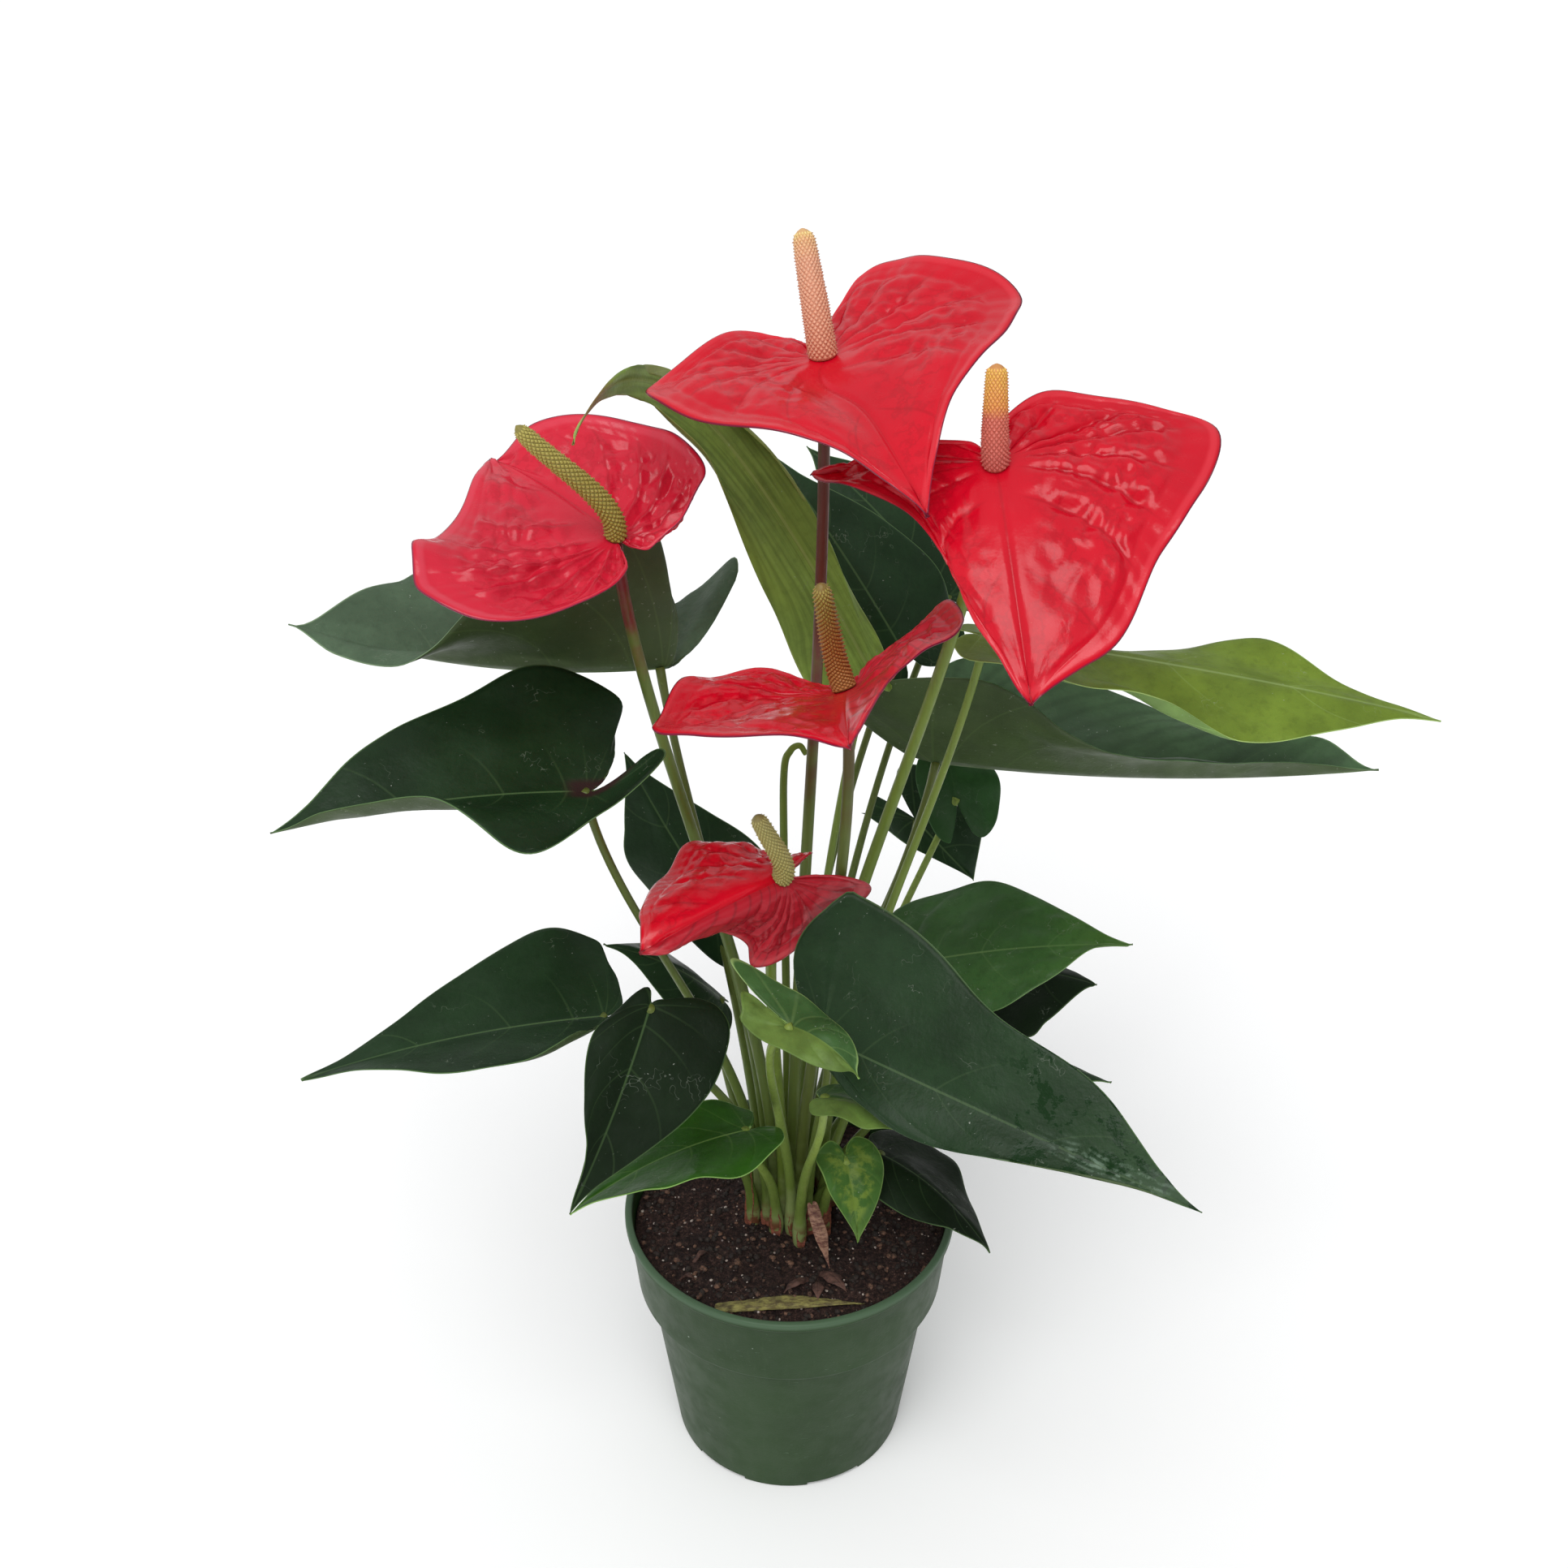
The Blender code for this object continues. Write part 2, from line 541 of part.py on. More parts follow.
def sweep(line, radii, sides, start=None, end=None, relief=0.0):
    """A closed tube along the line; relief raises and sinks every other point."""
    tangents = [(b - a).normalized() for a, b in zip(line, line[1:])]
    middle = [(a + b).normalized() for a, b in zip(tangents, tangents[1:])]
    tangents = [tangents[0]] + middle + [tangents[-1]]
    if start:
        tangents[0] = start
    if end:
        tangents[-1] = end
    across = tangents[0].orthogonal().normalized()
    points = []
    for i, place in enumerate(line):
        across = (across - tangents[i] * across.dot(tangents[i])).normalized()
        other = tangents[i].cross(across)
        for k in range(sides):
            angle = math.tau * (k + 0.5 * (i % 2) * bool(relief)) / sides
            bump = 1 + relief * (1 if (k + i) % 2 else -1) if 0 < i < len(line) - 1 else 1
            radius = radii[i] * bump
            points.append(place + across * (radius * math.cos(angle)) + other * (radius * math.sin(angle)))
    faces = []
    for i in range(len(line) - 1):
        for k in range(sides):
            a, b = i * sides + k, i * sides + (k + 1) % sides
            faces.append((a, b, b + sides))
            faces.append((a, b + sides, a + sides))
    faces.append(tuple(reversed(range(sides))))
    faces.append(tuple((len(line) - 1) * sides + k for k in range(sides)))
    return points, faces


def cell_place(cell):
    """The centre of a crown cell."""
    column, row = cell
    return CROWN_X + CELL * (column + 0.5 * (row % 2)), CROWN_Y + ROW_STEP * row


def soil_height(x, y):
    """The soil's surface, without its roughness."""
    away = math.hypot(x - CROWN_X, y - CROWN_Y)
    return SOIL_EDGE_Z + SOIL_CROWN_RISE * math.exp(-(away / SOIL_CROWN_SPREAD) ** 2)


def stem_line(cell, top, heading, hook=()):
    """A stem's route from its foot in the soil to its top, which a hook makes it reach from aside."""
    x, y = cell_place(cell)
    foot = Vector((x, y, soil_height(x, y) - STEM_DEPTH))
    rise = Vector((x, y, soil_height(x, y) + STEM_RISE))
    reach = (top - rise).length
    first = rise + Vector((0, 0, 1)) * (FOOT_PULL * reach)
    pull = Vector(hook) if hook else heading * (TOP_PULL * reach)
    return [foot] + bezier(rise, first, top - pull, top, STEM_STEPS)


def stem_radii(foot, top):
    """Radii from the foot in the soil to the top."""
    shares = [min(1.0, STEM_SLIMMING * i / STEM_STEPS) for i in range(STEM_STEPS + 1)]
    return [foot] + [foot + (top - foot) * share for share in shares]


def arrival(frame, cell):
    """The direction in which a stem reaches its blade."""
    x, y = cell_place(cell)
    up = frame.midrib(0.0)[2]
    straight = (frame.joint - Vector((x, y, SOIL_EDGE_Z))).normalized()
    return (straight + up * TOP_LIFT).normalized()


def build_leaf(leaf):
    """A leaf's blade fused with its petiole."""
    stations = SMALL_LEAF_STATIONS if leaf.small else LEAF_STATIONS
    columns = SMALL_LEAF_COLUMNS if leaf.small else LEAF_COLUMNS
    surface = material("leaf_" + leaf.name + "_surface", leaf.colour, LEAF_ROUGHNESS)
    bend = EDGES.get(leaf.name, EVEN)
    points, triangles, loop = blade_surface(leaf.blade, stations, columns, 0.0, bend)
    result = solid("leaf_" + leaf.name, *thicken(points, triangles, loop, BLADE), surface)
    frame = BladeFrame(leaf.blade)
    place, slope, up = frame.midrib(0.0)
    top = place + slope * PETIOLE_SEAT[0] + up * PETIOLE_SEAT[1]
    line = stem_line(leaf.cell, top, arrival(frame, leaf.cell), leaf.hook)
    petiole = solid("petiole", *sweep(line, stem_radii(PETIOLE_FOOT, PETIOLE_TOP), STEM_SIDES))
    combine(result, petiole, "UNION")
    return result


def build_bloom(bloom):
    """A bloom's spathe, spadix and stalk."""
    frame = BladeFrame(bloom.spathe)
    place, slope, up = frame.midrib(0.0)
    surface = material("spathe_" + bloom.name + "_surface", bloom.colour, SPATHE_ROUGHNESS)
    bend = EDGES.get(bloom.name, EVEN)
    shell = thicken(*blade_surface(bloom.spathe, SPATHE_STATIONS, SPATHE_COLUMNS, HUB, bend), BLADE)
    solid("spathe_" + bloom.name, *shell, surface)
    base = place + up * (BLADE / 2 + GAP)
    tip = Vector(bloom.spadix_tip)
    rise = up * (SPADIX_PULL[0] * (tip - base).length)
    line = bezier(base, base + rise, tip.lerp(base, SPADIX_PULL[1]), tip, SPADIX_ROWS)
    radii = [bloom.spadix_radius * spadix_profile(i / SPADIX_ROWS) for i in range(SPADIX_ROWS + 1)]
    surface = material("spadix_" + bloom.name + "_surface", bloom.spadix_colour, SPADIX_ROUGHNESS)
    solid("spadix_" + bloom.name, *sweep(line, radii, SPADIX_SIDES, up, None, FLORET_RELIEF), surface)
    top = place - up * (BLADE / 2 + GAP)
    line = stem_line(bloom.cell, top, arrival(frame, bloom.cell))
    surface = material("stalk_" + bloom.name + "_surface", bloom.stalk_colour, STEM_ROUGHNESS)
    radii = stem_radii(STALK_FOOT, STALK_TOP)
    solid("stalk_" + bloom.name, *sweep(line, radii, STEM_SIDES, None, up), surface)


def build_bud():
    """The hooked young stem beside the top bloom's stalk."""
    x, y = cell_place(BUD_CELL)
    foot = Vector((x, y, soil_height(x, y) - STEM_DEPTH))
    rise = Vector((x, y, soil_height(x, y) + STEM_RISE))
    line = [foot] + catmull_rom([rise] + [Vector(place) for place in BUD_ROUTE], 2)
    radii = [BUD_RADIUS + (BUD_TIP_RADIUS - BUD_RADIUS) * i / (len(line) - 1) for i in range(len(line))]
    surface = material("bud_stem_surface", STEM_GREEN, STEM_ROUGHNESS)
    solid("bud_stem", *sweep(line, radii, STEM_SIDES), surface)


def build_dry_bits():
    """The dried sheath beside the crown and the dead leaf lying on the soil."""
    for name, blade, colour in (("dry_sheath", DRY_SHEATH, DRY_BROWN), ("dead_leaf", DEAD_LEAF, STRAW)):
        shell = thicken(*blade_surface(blade, SMALL_LEAF_STATIONS, SMALL_LEAF_COLUMNS), BLADE)
        solid(name, *shell, material(name + "_surface", colour, DRY_ROUGHNESS))


def spadix_profile(share):
    """The spadix's radius along its length, narrowing to a blunt tip."""
    beyond = max(0.0, (share - SPADIX_ROUND_FROM) / (1 - SPADIX_ROUND_FROM))
    blunt = math.sqrt(max(0.0, 1 - beyond ** 2))
    return (1 - SPADIX_TAPER * share ** SPADIX_SWELL) * max(blunt, SPADIX_TIP_SHARE)


def lathe(name, profile, surface, segments=POT_SEGMENTS):
    """A closed ring solid from a profile of (radius, height) that runs round its section."""
    points = []
    for radius, height in profile:
        for k in range(segments):
            angle = math.tau * k / segments
            points.append((radius * math.cos(angle), radius * math.sin(angle), height))
    faces = []
    count = len(profile)
    for i in range(count - 1):
        for k in range(segments):
            a, b = i * segments + k, i * segments + (k + 1) % segments
            faces.append((a, b, b + segments, a + segments))
    faces.append(tuple(reversed(range(segments))))
    faces.append(tuple((count - 1) * segments + k for k in range(segments)))
    return solid(name, points, faces, surface)


def box(points_low, points_high, angle):
    """Corners and faces of a box turned about Z."""
    turn = Matrix.Rotation(math.radians(angle), 3, "Z")
    corners = [turn @ Vector((x, y, z)) for x in (points_low[0], points_high[0])
               for y in (points_low[1], points_high[1]) for z in (points_low[2], points_high[2])]
    faces = [(0, 1, 3, 2), (4, 6, 7, 5), (0, 4, 5, 1), (2, 3, 7, 6), (0, 2, 6, 4), (1, 5, 7, 3)]
    return corners, faces


def cylinder(x, y, low, high, radius, sides):
    """Corners and faces of an upright cylinder."""
    line = [Vector((x, y, low)), Vector((x, y, high))]
    return sweep(line, [radius, radius], sides)


def gather(name, bodies):
    """One object from several separate bodies."""
    points = []
    faces = []
    for corners, sides in bodies:
        start = len(points)
        points += corners
        faces += [tuple(i + start for i in face) for face in sides]
    return solid(name, points, faces)


def wall_radius(z):
    """The pot's inner radius at a height."""
    if z >= COLLAR_BOTTOM_Z:
        share = (z - COLLAR_BOTTOM_Z) / (POT_HEIGHT - LIP_HEIGHT - COLLAR_BOTTOM_Z)
        return COLLAR_BOTTOM_RADIUS - WALL + share * (COLLAR_TOP_RADIUS - COLLAR_BOTTOM_RADIUS)
    share = z / COLLAR_BOTTOM_Z
    return BASE_RADIUS - WALL + share * (BODY_TOP_RADIUS - BASE_RADIUS)


def build_pot():
    """The nursery pot with its lip, collar, feet and drainage holes."""
    floor_top = FOOT_HEIGHT + FLOOR_THICKNESS
    lip_bottom = POT_HEIGHT - LIP_HEIGHT
    inner_lip = wall_radius(lip_bottom)
    profile = [
        (BOSS_RADIUS, 0.0), (BOSS_RADIUS, FOOT_HEIGHT), (FOOT_RING_INNER, FOOT_HEIGHT),
        (FOOT_RING_INNER, 0.0), (BASE_RADIUS - 0.8, 0.0), (BASE_RADIUS, 0.9),
        (BODY_TOP_RADIUS, COLLAR_BOTTOM_Z), (COLLAR_BOTTOM_RADIUS - 0.3, COLLAR_BOTTOM_Z),
        (COLLAR_BOTTOM_RADIUS, COLLAR_BOTTOM_Z + 0.5), (COLLAR_TOP_RADIUS, lip_bottom),
        (LIP_RADIUS - 0.2, lip_bottom + 0.2), (LIP_RADIUS, lip_bottom + 1.4),
        (LIP_RADIUS - 0.6, POT_HEIGHT - 0.5), (LIP_RADIUS - 1.6, POT_HEIGHT),
        (inner_lip + 0.5, POT_HEIGHT - 0.2), (inner_lip, lip_bottom),
        (wall_radius(COLLAR_BOTTOM_Z + WALL), COLLAR_BOTTOM_Z + WALL),
        (wall_radius(COLLAR_BOTTOM_Z - WALL), COLLAR_BOTTOM_Z - WALL),
        (wall_radius(floor_top), floor_top)]
    pot = lathe("pot", profile, material("pot_surface", POT_GREEN, POT_ROUGHNESS))
    cuts = []
    for k in range(FOOT_COUNT):
        angle = FIRST_NOTCH_ANGLE + 360.0 * k / FOOT_COUNT
        low = (FOOT_RING_INNER - 3 * CLEAR, -NOTCH_WIDTH / 2, -CLEAR)
        high = (FOOT_RING_INNER + NOTCH_DEPTH, NOTCH_WIDTH / 2, FOOT_HEIGHT)
        cuts.append(box(low, high, angle))
    combine(pot, gather("notches", cuts), "DIFFERENCE")
    holes = []
    for k in range(FOOT_COUNT):
        angle = math.radians(FIRST_NOTCH_ANGLE + DRAIN_TURN + 360.0 * k / FOOT_COUNT)
        x, y = DRAIN_RING_RADIUS * math.cos(angle), DRAIN_RING_RADIUS * math.sin(angle)
        holes.append(cylinder(x, y, -CLEAR, floor_top + CLEAR, DRAIN_RADIUS, DRAIN_SIDES))
    combine(pot, gather("drains", holes), "DIFFERENCE")


def build_soil(cells):
    """The soil with a plain hole for each stem."""
    floor_top = FOOT_HEIGHT + FLOOR_THICKNESS + GAP
    cut, foot_top = SOIL_FOOT_CUT[0], floor_top + SOIL_FOOT_CUT[1]
    profile = [(wall_radius(floor_top) - cut, floor_top), (wall_radius(foot_top) - GAP, foot_top),
               (wall_radius(COLLAR_BOTTOM_Z - WALL) - GAP, COLLAR_BOTTOM_Z - WALL + GAP),
               (wall_radius(COLLAR_BOTTOM_Z + WALL) - GAP, COLLAR_BOTTOM_Z + WALL + GAP),
               (wall_radius(SOIL_EDGE_Z) - GAP, SOIL_EDGE_Z - SOIL_SHOULDER)]
    profile += [(radius, SOIL_EDGE_Z) for radius in reversed(SOIL_RINGS)]
    soil = lathe("soil", profile, material("soil_surface", SOIL_BROWN, SOIL_ROUGH_LOOK))
    for vertex in soil.data.vertices:
        place = vertex.co / MM
        if place.z > SOIL_EDGE_Z - SOIL_SHOULDER / 2:
            bump = noise.noise(Vector((place.x, place.y, 0.0)) / SOIL_BUMP_SIZE)
            place.z = soil_height(place.x, place.y) + SOIL_BUMP * bump
            vertex.co = place * MM
    bodies = []
    for cell, radius in cells:
        x, y = cell_place(cell)
        low = soil_height(x, y) - STEM_DEPTH - GAP
        bodies.append(cylinder(x, y, low, SOIL_EDGE_Z + STEM_DEPTH, radius + GAP, HOLE_SIDES))
    combine(soil, gather("stem_holes", bodies), "DIFFERENCE")


def main():
    """Build the plant in its pot."""
    clear_scene()
    build_pot()
    cells = [(leaf.cell, PETIOLE_FOOT) for leaf in LEAVES]
    cells += [(bloom.cell, STALK_FOOT) for bloom in BLOOMS]
    cells.append((BUD_CELL, BUD_RADIUS))
    build_soil(cells)
    for bloom in BLOOMS:
        build_bloom(bloom)
    for leaf in LEAVES:
        build_leaf(leaf)
    build_bud()
    build_dry_bits()


main()
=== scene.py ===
"""Look of the potted anthurium: fine leaves, spathes, spadices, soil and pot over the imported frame."""
import math
import random
from dataclasses import dataclass
from functools import partial

import bpy
import numpy as np
from mathutils import Matrix, Vector, noise


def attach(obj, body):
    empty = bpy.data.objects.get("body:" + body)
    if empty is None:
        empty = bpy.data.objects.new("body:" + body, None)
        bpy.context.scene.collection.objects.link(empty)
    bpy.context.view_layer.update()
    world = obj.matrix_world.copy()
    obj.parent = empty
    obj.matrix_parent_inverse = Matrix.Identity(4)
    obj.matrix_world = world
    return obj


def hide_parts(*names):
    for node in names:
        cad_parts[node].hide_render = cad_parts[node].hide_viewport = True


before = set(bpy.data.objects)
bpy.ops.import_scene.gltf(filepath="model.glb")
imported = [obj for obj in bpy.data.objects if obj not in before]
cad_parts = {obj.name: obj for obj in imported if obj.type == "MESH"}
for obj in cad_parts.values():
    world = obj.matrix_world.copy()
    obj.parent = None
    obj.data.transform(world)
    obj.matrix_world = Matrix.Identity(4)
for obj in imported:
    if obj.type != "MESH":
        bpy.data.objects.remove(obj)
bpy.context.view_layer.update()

MM = 0.001  # sizes below are in millimetres, places in the frame's axes
SEED = 7

# Pot and soil, as in the frame
POT_HEIGHT = 102.0
LIP_RADIUS = 60.0
LIP_HEIGHT = 3.4
COLLAR_TOP_RADIUS = 58.6
COLLAR_BOTTOM_RADIUS = 56.0
COLLAR_BOTTOM_Z = 71.0
BODY_TOP_RADIUS = 52.0
BASE_RADIUS = 43.0
WALL = 1.3
FLOOR_THICKNESS = 1.6
FOOT_HEIGHT = 1.6
FOOT_RING_INNER = 36.0
BOSS_RADIUS = 25.0
FOOT_COUNT = 6
NOTCH_WIDTH = 21.0
NOTCH_DEPTH = 14.0
FIRST_NOTCH_ANGLE = -67.0
NOTCH_START = 3.0
FOOT_CHAMFER = (0.2, 1.2)
LIP_WEAR = (3.0, 0.8)
POT_ROUNDING = 1.3
CUT_MARGIN = 1.0
DRAIN_RADIUS = 3.5
DRAIN_RING_RADIUS = 30.5
DRAIN_TURN = 30.0
SOIL_EDGE_Z = 94.0
SOIL_CROWN_RISE = 4.0
SOIL_CROWN_SPREAD = 26.0
STEM_DEPTH = 12.0
CROWN_X = -2.0
CROWN_Y = 6.0
CELL = 5.6
ROW_STEP = 4.9

# Fineness
LEAF_VEINS = 7
SPATHE_VEINS = 9
DRY_VEINS = 4
ROWS_PER_VEIN = 12
LEAF_COLUMNS = 20
SPATHE_COLUMNS = 70
DRY_COLUMNS = 8
POT_SEGMENTS = 180
SOIL_SEGMENTS = 200
SOIL_RINGS = 90
STEM_SIDES = 12
STEM_STEPS = 36
SPADIX_SIDES = 20
SPADIX_STEPS = 60
DRAIN_SIDES = 32
OUTLINE_STEPS = 24

# Blades
LEAF_THICKNESS = 0.5
SPATHE_THICKNESS = 0.6
LEAF_HUB = 1.6
SPATHE_HUB = 4.2
DRY_HUB = 0.5
LOBE_SHARE = 0.12
LEAF_RIB_SPACING = 1.8
SPATHE_RIB_SPACING = 3.0
LEAF_VEIN_CURVE = 0.5
SPATHE_VEIN_CURVE = 0.75
COLUMN_SPACING = 0.9
EDGE_REACH = 1.5
SWAY_AT = 0.2
SWAY_LENGTH = 0.15
SWAY_WIDTH = 12.0
THIN_EDGE = 0.55  # share of the thickness left at the margin
THIN_REACH = 3.0
FAN_START = math.radians(168)
FAN_TURN = math.radians(40)
SLIMMEST = 0.15

# Relief: heights and depths of what stands out of a blade
LEAF_QUILT = 0.02
LEAF_RIB_DEPTH = 0.45
LEAF_DENTS = 0.9
SPATHE_QUILT = 0.2
SPATHE_CELL = 4.4
SPATHE_RIDGES = 0.8
SPATHE_LINES = 0.12
SPATHE_GUTTER = 0.35
SPATHE_ROLL = 0.5
SPATHE_RIB_DEPTH = 0.7
SPATHE_DENTS = 2.6
DRY_DENTS = 0.5
# How deeply each spathe is blistered on its left and right halves, and how much less near its tip
QUILTING = {"top": (0.55, 0.8, 0.85), "right": (0.6, 1.2, 0.6), "left": (-1.2, -1.1, 0.1),
            "centre": (0.8, 1.1, 0.6), "low": (0.9, 0.8, 0.7)}
CRUMPLE = {"green_right": 3.0, "young_curled": 2.0, "young_heart": 2.5, "long_right": 1.5}
RIB_SWAY = {"top": -6.0}  # a midrib that swings aside near the joint

# Stems
PETIOLE_FOOT = 2.0
PETIOLE_TOP = 1.3
STALK_FOOT = 2.2
STALK_TOP = 1.8
STEM_RISE = 4.0
FOOT_PULL = 0.35
TOP_PULL = 0.28
TOP_LIFT = 0.5
SHEATH = 0.8  # how much the leaf sheaths thicken a stem at its foot
SHEATH_REACH = 0.055
STEM_TAPER = 1.6
SWELL_SPAN = (0.93, 0.985)
PETIOLE_SWELL = 0.25
STALK_SWELL = 0.3
PETIOLE_INSET = 0.8
PETIOLE_LIFT = 0.1
BUD_CELL = (0, 0)
BUD_ROUTE = ((-1, 10, 160), (-2, 11, 245), (-2, 11, 278), (0, 11, 286), (3, 11, 288), (5, 11, 285))
BUD_RADIUS = 1.6
BUD_TIP_RADIUS = 0.9
BUD_STEPS = 8

# Spadix
SPADIX_TAPER = 0.30
SPADIX_SWELL = 1.6
SPADIX_ROUND_FROM = 0.9
SPADIX_PULL = (0.3, 0.35)
SPADIX_CORE = 0.93
GAP = 0.3
FLORET_SIZES = {"top": 1.6, "right": 1.5, "left": 1.75, "centre": 1.7, "low": 1.5}
FLORET_RELIEF = {"top": 1.1, "right": 1.0, "left": 1.2, "centre": 1.3, "low": 1.0}
FLORET_LEVELS = ((1.0, 0.0), (0.72, 0.75), (0.34, 0.80))  # half width and height of each ring of corners
FLORET_TIPS = (0.95, 1.35)
FLORET_MIDDLE = 0.8
FLORET_BED = 0.3

# Soil and what lies on it. Lumps have a height, a size and a layer of noise
SOIL_LUMPS = ((1.3, 9.0, 0), (1.1, 3.1, 3))
SOIL_CRUMBS = (0.7, 1.4, 8)
SOIL_SINK = 0.2
SOIL_FOOT = (1.2, 2)
GRAIN_INSET = 2.2
GRAIN_SEAT = 0.15
LUMP_LENGTH = (0.7, 1.3)
LUMP_WIDTH = (0.6, 1.0)
LUMP_HEIGHT = (0.7, 1.2)
LUMP_JITTER = (0.8, 1.2)
# Numbers, sizes and flatness of the bits of perlite, bark and peat
GRAINS = ((170, (0.25, 0.75), 0.8), (360, (0.4, 1.5), 0.45), (760, (0.5, 1.5), 0.7))
# Crown cells whose stems have a sheath, and the scraps' place, direction, length and half width
SHEATH_CELLS = ((1, -4), (-1, -3), (0, -3), (1, -3), (2, -3), (-2, -2), (-1, -2), (2, -2), (2, -1), (-2, 0),
                (2, 3), (-2, 1))
SCRAPS = ((12, -28, -0.9, 13.0, 2.6), (6, -31, -2.4, 11.0, 1.8), (10, -33, -1.6, 9.0, 2.2),
          (-34, -22, 0.6, 6.0, 1.0), (-38, -30, -0.4, 5.0, 0.9))
SHEATH_CENTRE = -4.0
SHEATH_AWAY = 2.7
SHEATH_HEIGHTS = (8.0, 26.0)
SHEATH_HALF_WIDTHS = (1.6, 2.4)
SHEATH_THICKNESS = 0.3
SCRAP_LIFT = 0.7
SCRAP_CURL = 1.6
SCRAP_THICKNESS = 0.4

# Stage
WORLD_COLOUR = (0.96, 0.98, 1.0, 1.0)
WORLD_STRENGTH = 0.29
LIGHTS = (("sky", (-0.5, 0.1, 2.0), 1.15, math.radians(150)),
          ("panel", (-0.15, -0.75, 1.35), 1.9, math.radians(45)))
FLOOR_HALF = 6
FLOOR_DROP = 0.0002
AIM = (0, 0, 0.3)
CAMERA_PLACE = (-0.002, -0.530, 0.600)
CAMERA_TILT = math.radians(58.9)
SENSOR = 36.0
LENS = 44.72


@dataclass
class Blade:
    """A heart-shaped blade: its joint, its tip and the widest place of each half.

    Seen on its upper face with the tip pointing down, left and right are as named.
    """
    joint: tuple
    tip: tuple
    left: tuple
    right: tuple
    lobes: tuple = (24.0, 24.0)
    bow: float = 4.0
    cup: tuple = (-2.0, -2.0)
    wave: float = 1.5
    waves: float = 2.0
    crest: tuple = None
    taper: float = 1.0
    phase: float = 0.0
    full: float = 0.0


@dataclass
class Leaf:
    """A leaf: its blade, the crown cell of its petiole, its look and how its petiole bends at the top."""
    name: str
    blade: Blade
    cell: tuple
    look: str = "dark"
    hook: tuple = ()


@dataclass
class Bloom:
    """A bloom: its spathe, its spadix's tip, its stalk's crown cell, the spadix's radius and three looks."""
    name: str
    spathe: Blade
    spadix_tip: tuple
    cell: tuple
    spadix_radius: float
    spadix_look: str
    look: str
    stalk_look: str


BLOOMS = (
    Bloom("top", Blade((9, 0, 420), (35, -65, 400), (-38, -20, 419), (66, 8, 434), (26, 36), 5.0, (2, 4)), (3,
        12, 453), (0, -1), 4.1, "salmon", "red", "brown"),
    Bloom("right", Blade((55, -37, 403), (62, -88, 357), (5, -20, 390), (118, -25, 406), (14, 24), 5.0,
        full=0.55), (54, -34, 430), (1, 0), 3.8, "orange", "red", "green"),
    Bloom("left", Blade((-50, -20, 374), (-90, 21, 382), (-24, 0, 384), (-105, -42, 380), (22, 22), 3.0, (9,
        -4), full=0.5), (-74, -32, 412), (-1, -1), 3.2, "olive", "pink", "crimson"),
    Bloom("centre", Blade((16, -30, 330), (15, -85, 344), (-38, -60, 334), (47, -45, 364), (16, 12), 2.0,
        full=0.4), (8, -42, 370), (1, -2), 3.6, "rust", "wing", "olive"),
    Bloom("low", Blade((-3, -40, 271), (-44, -70, 265), (-29, -10, 265), (-11, -42, 238), (20, 16), 3.0,
        full=0.9), (-10, -44, 296), (0, -2), 3.3, "yellow", "funnel", "green"),
)

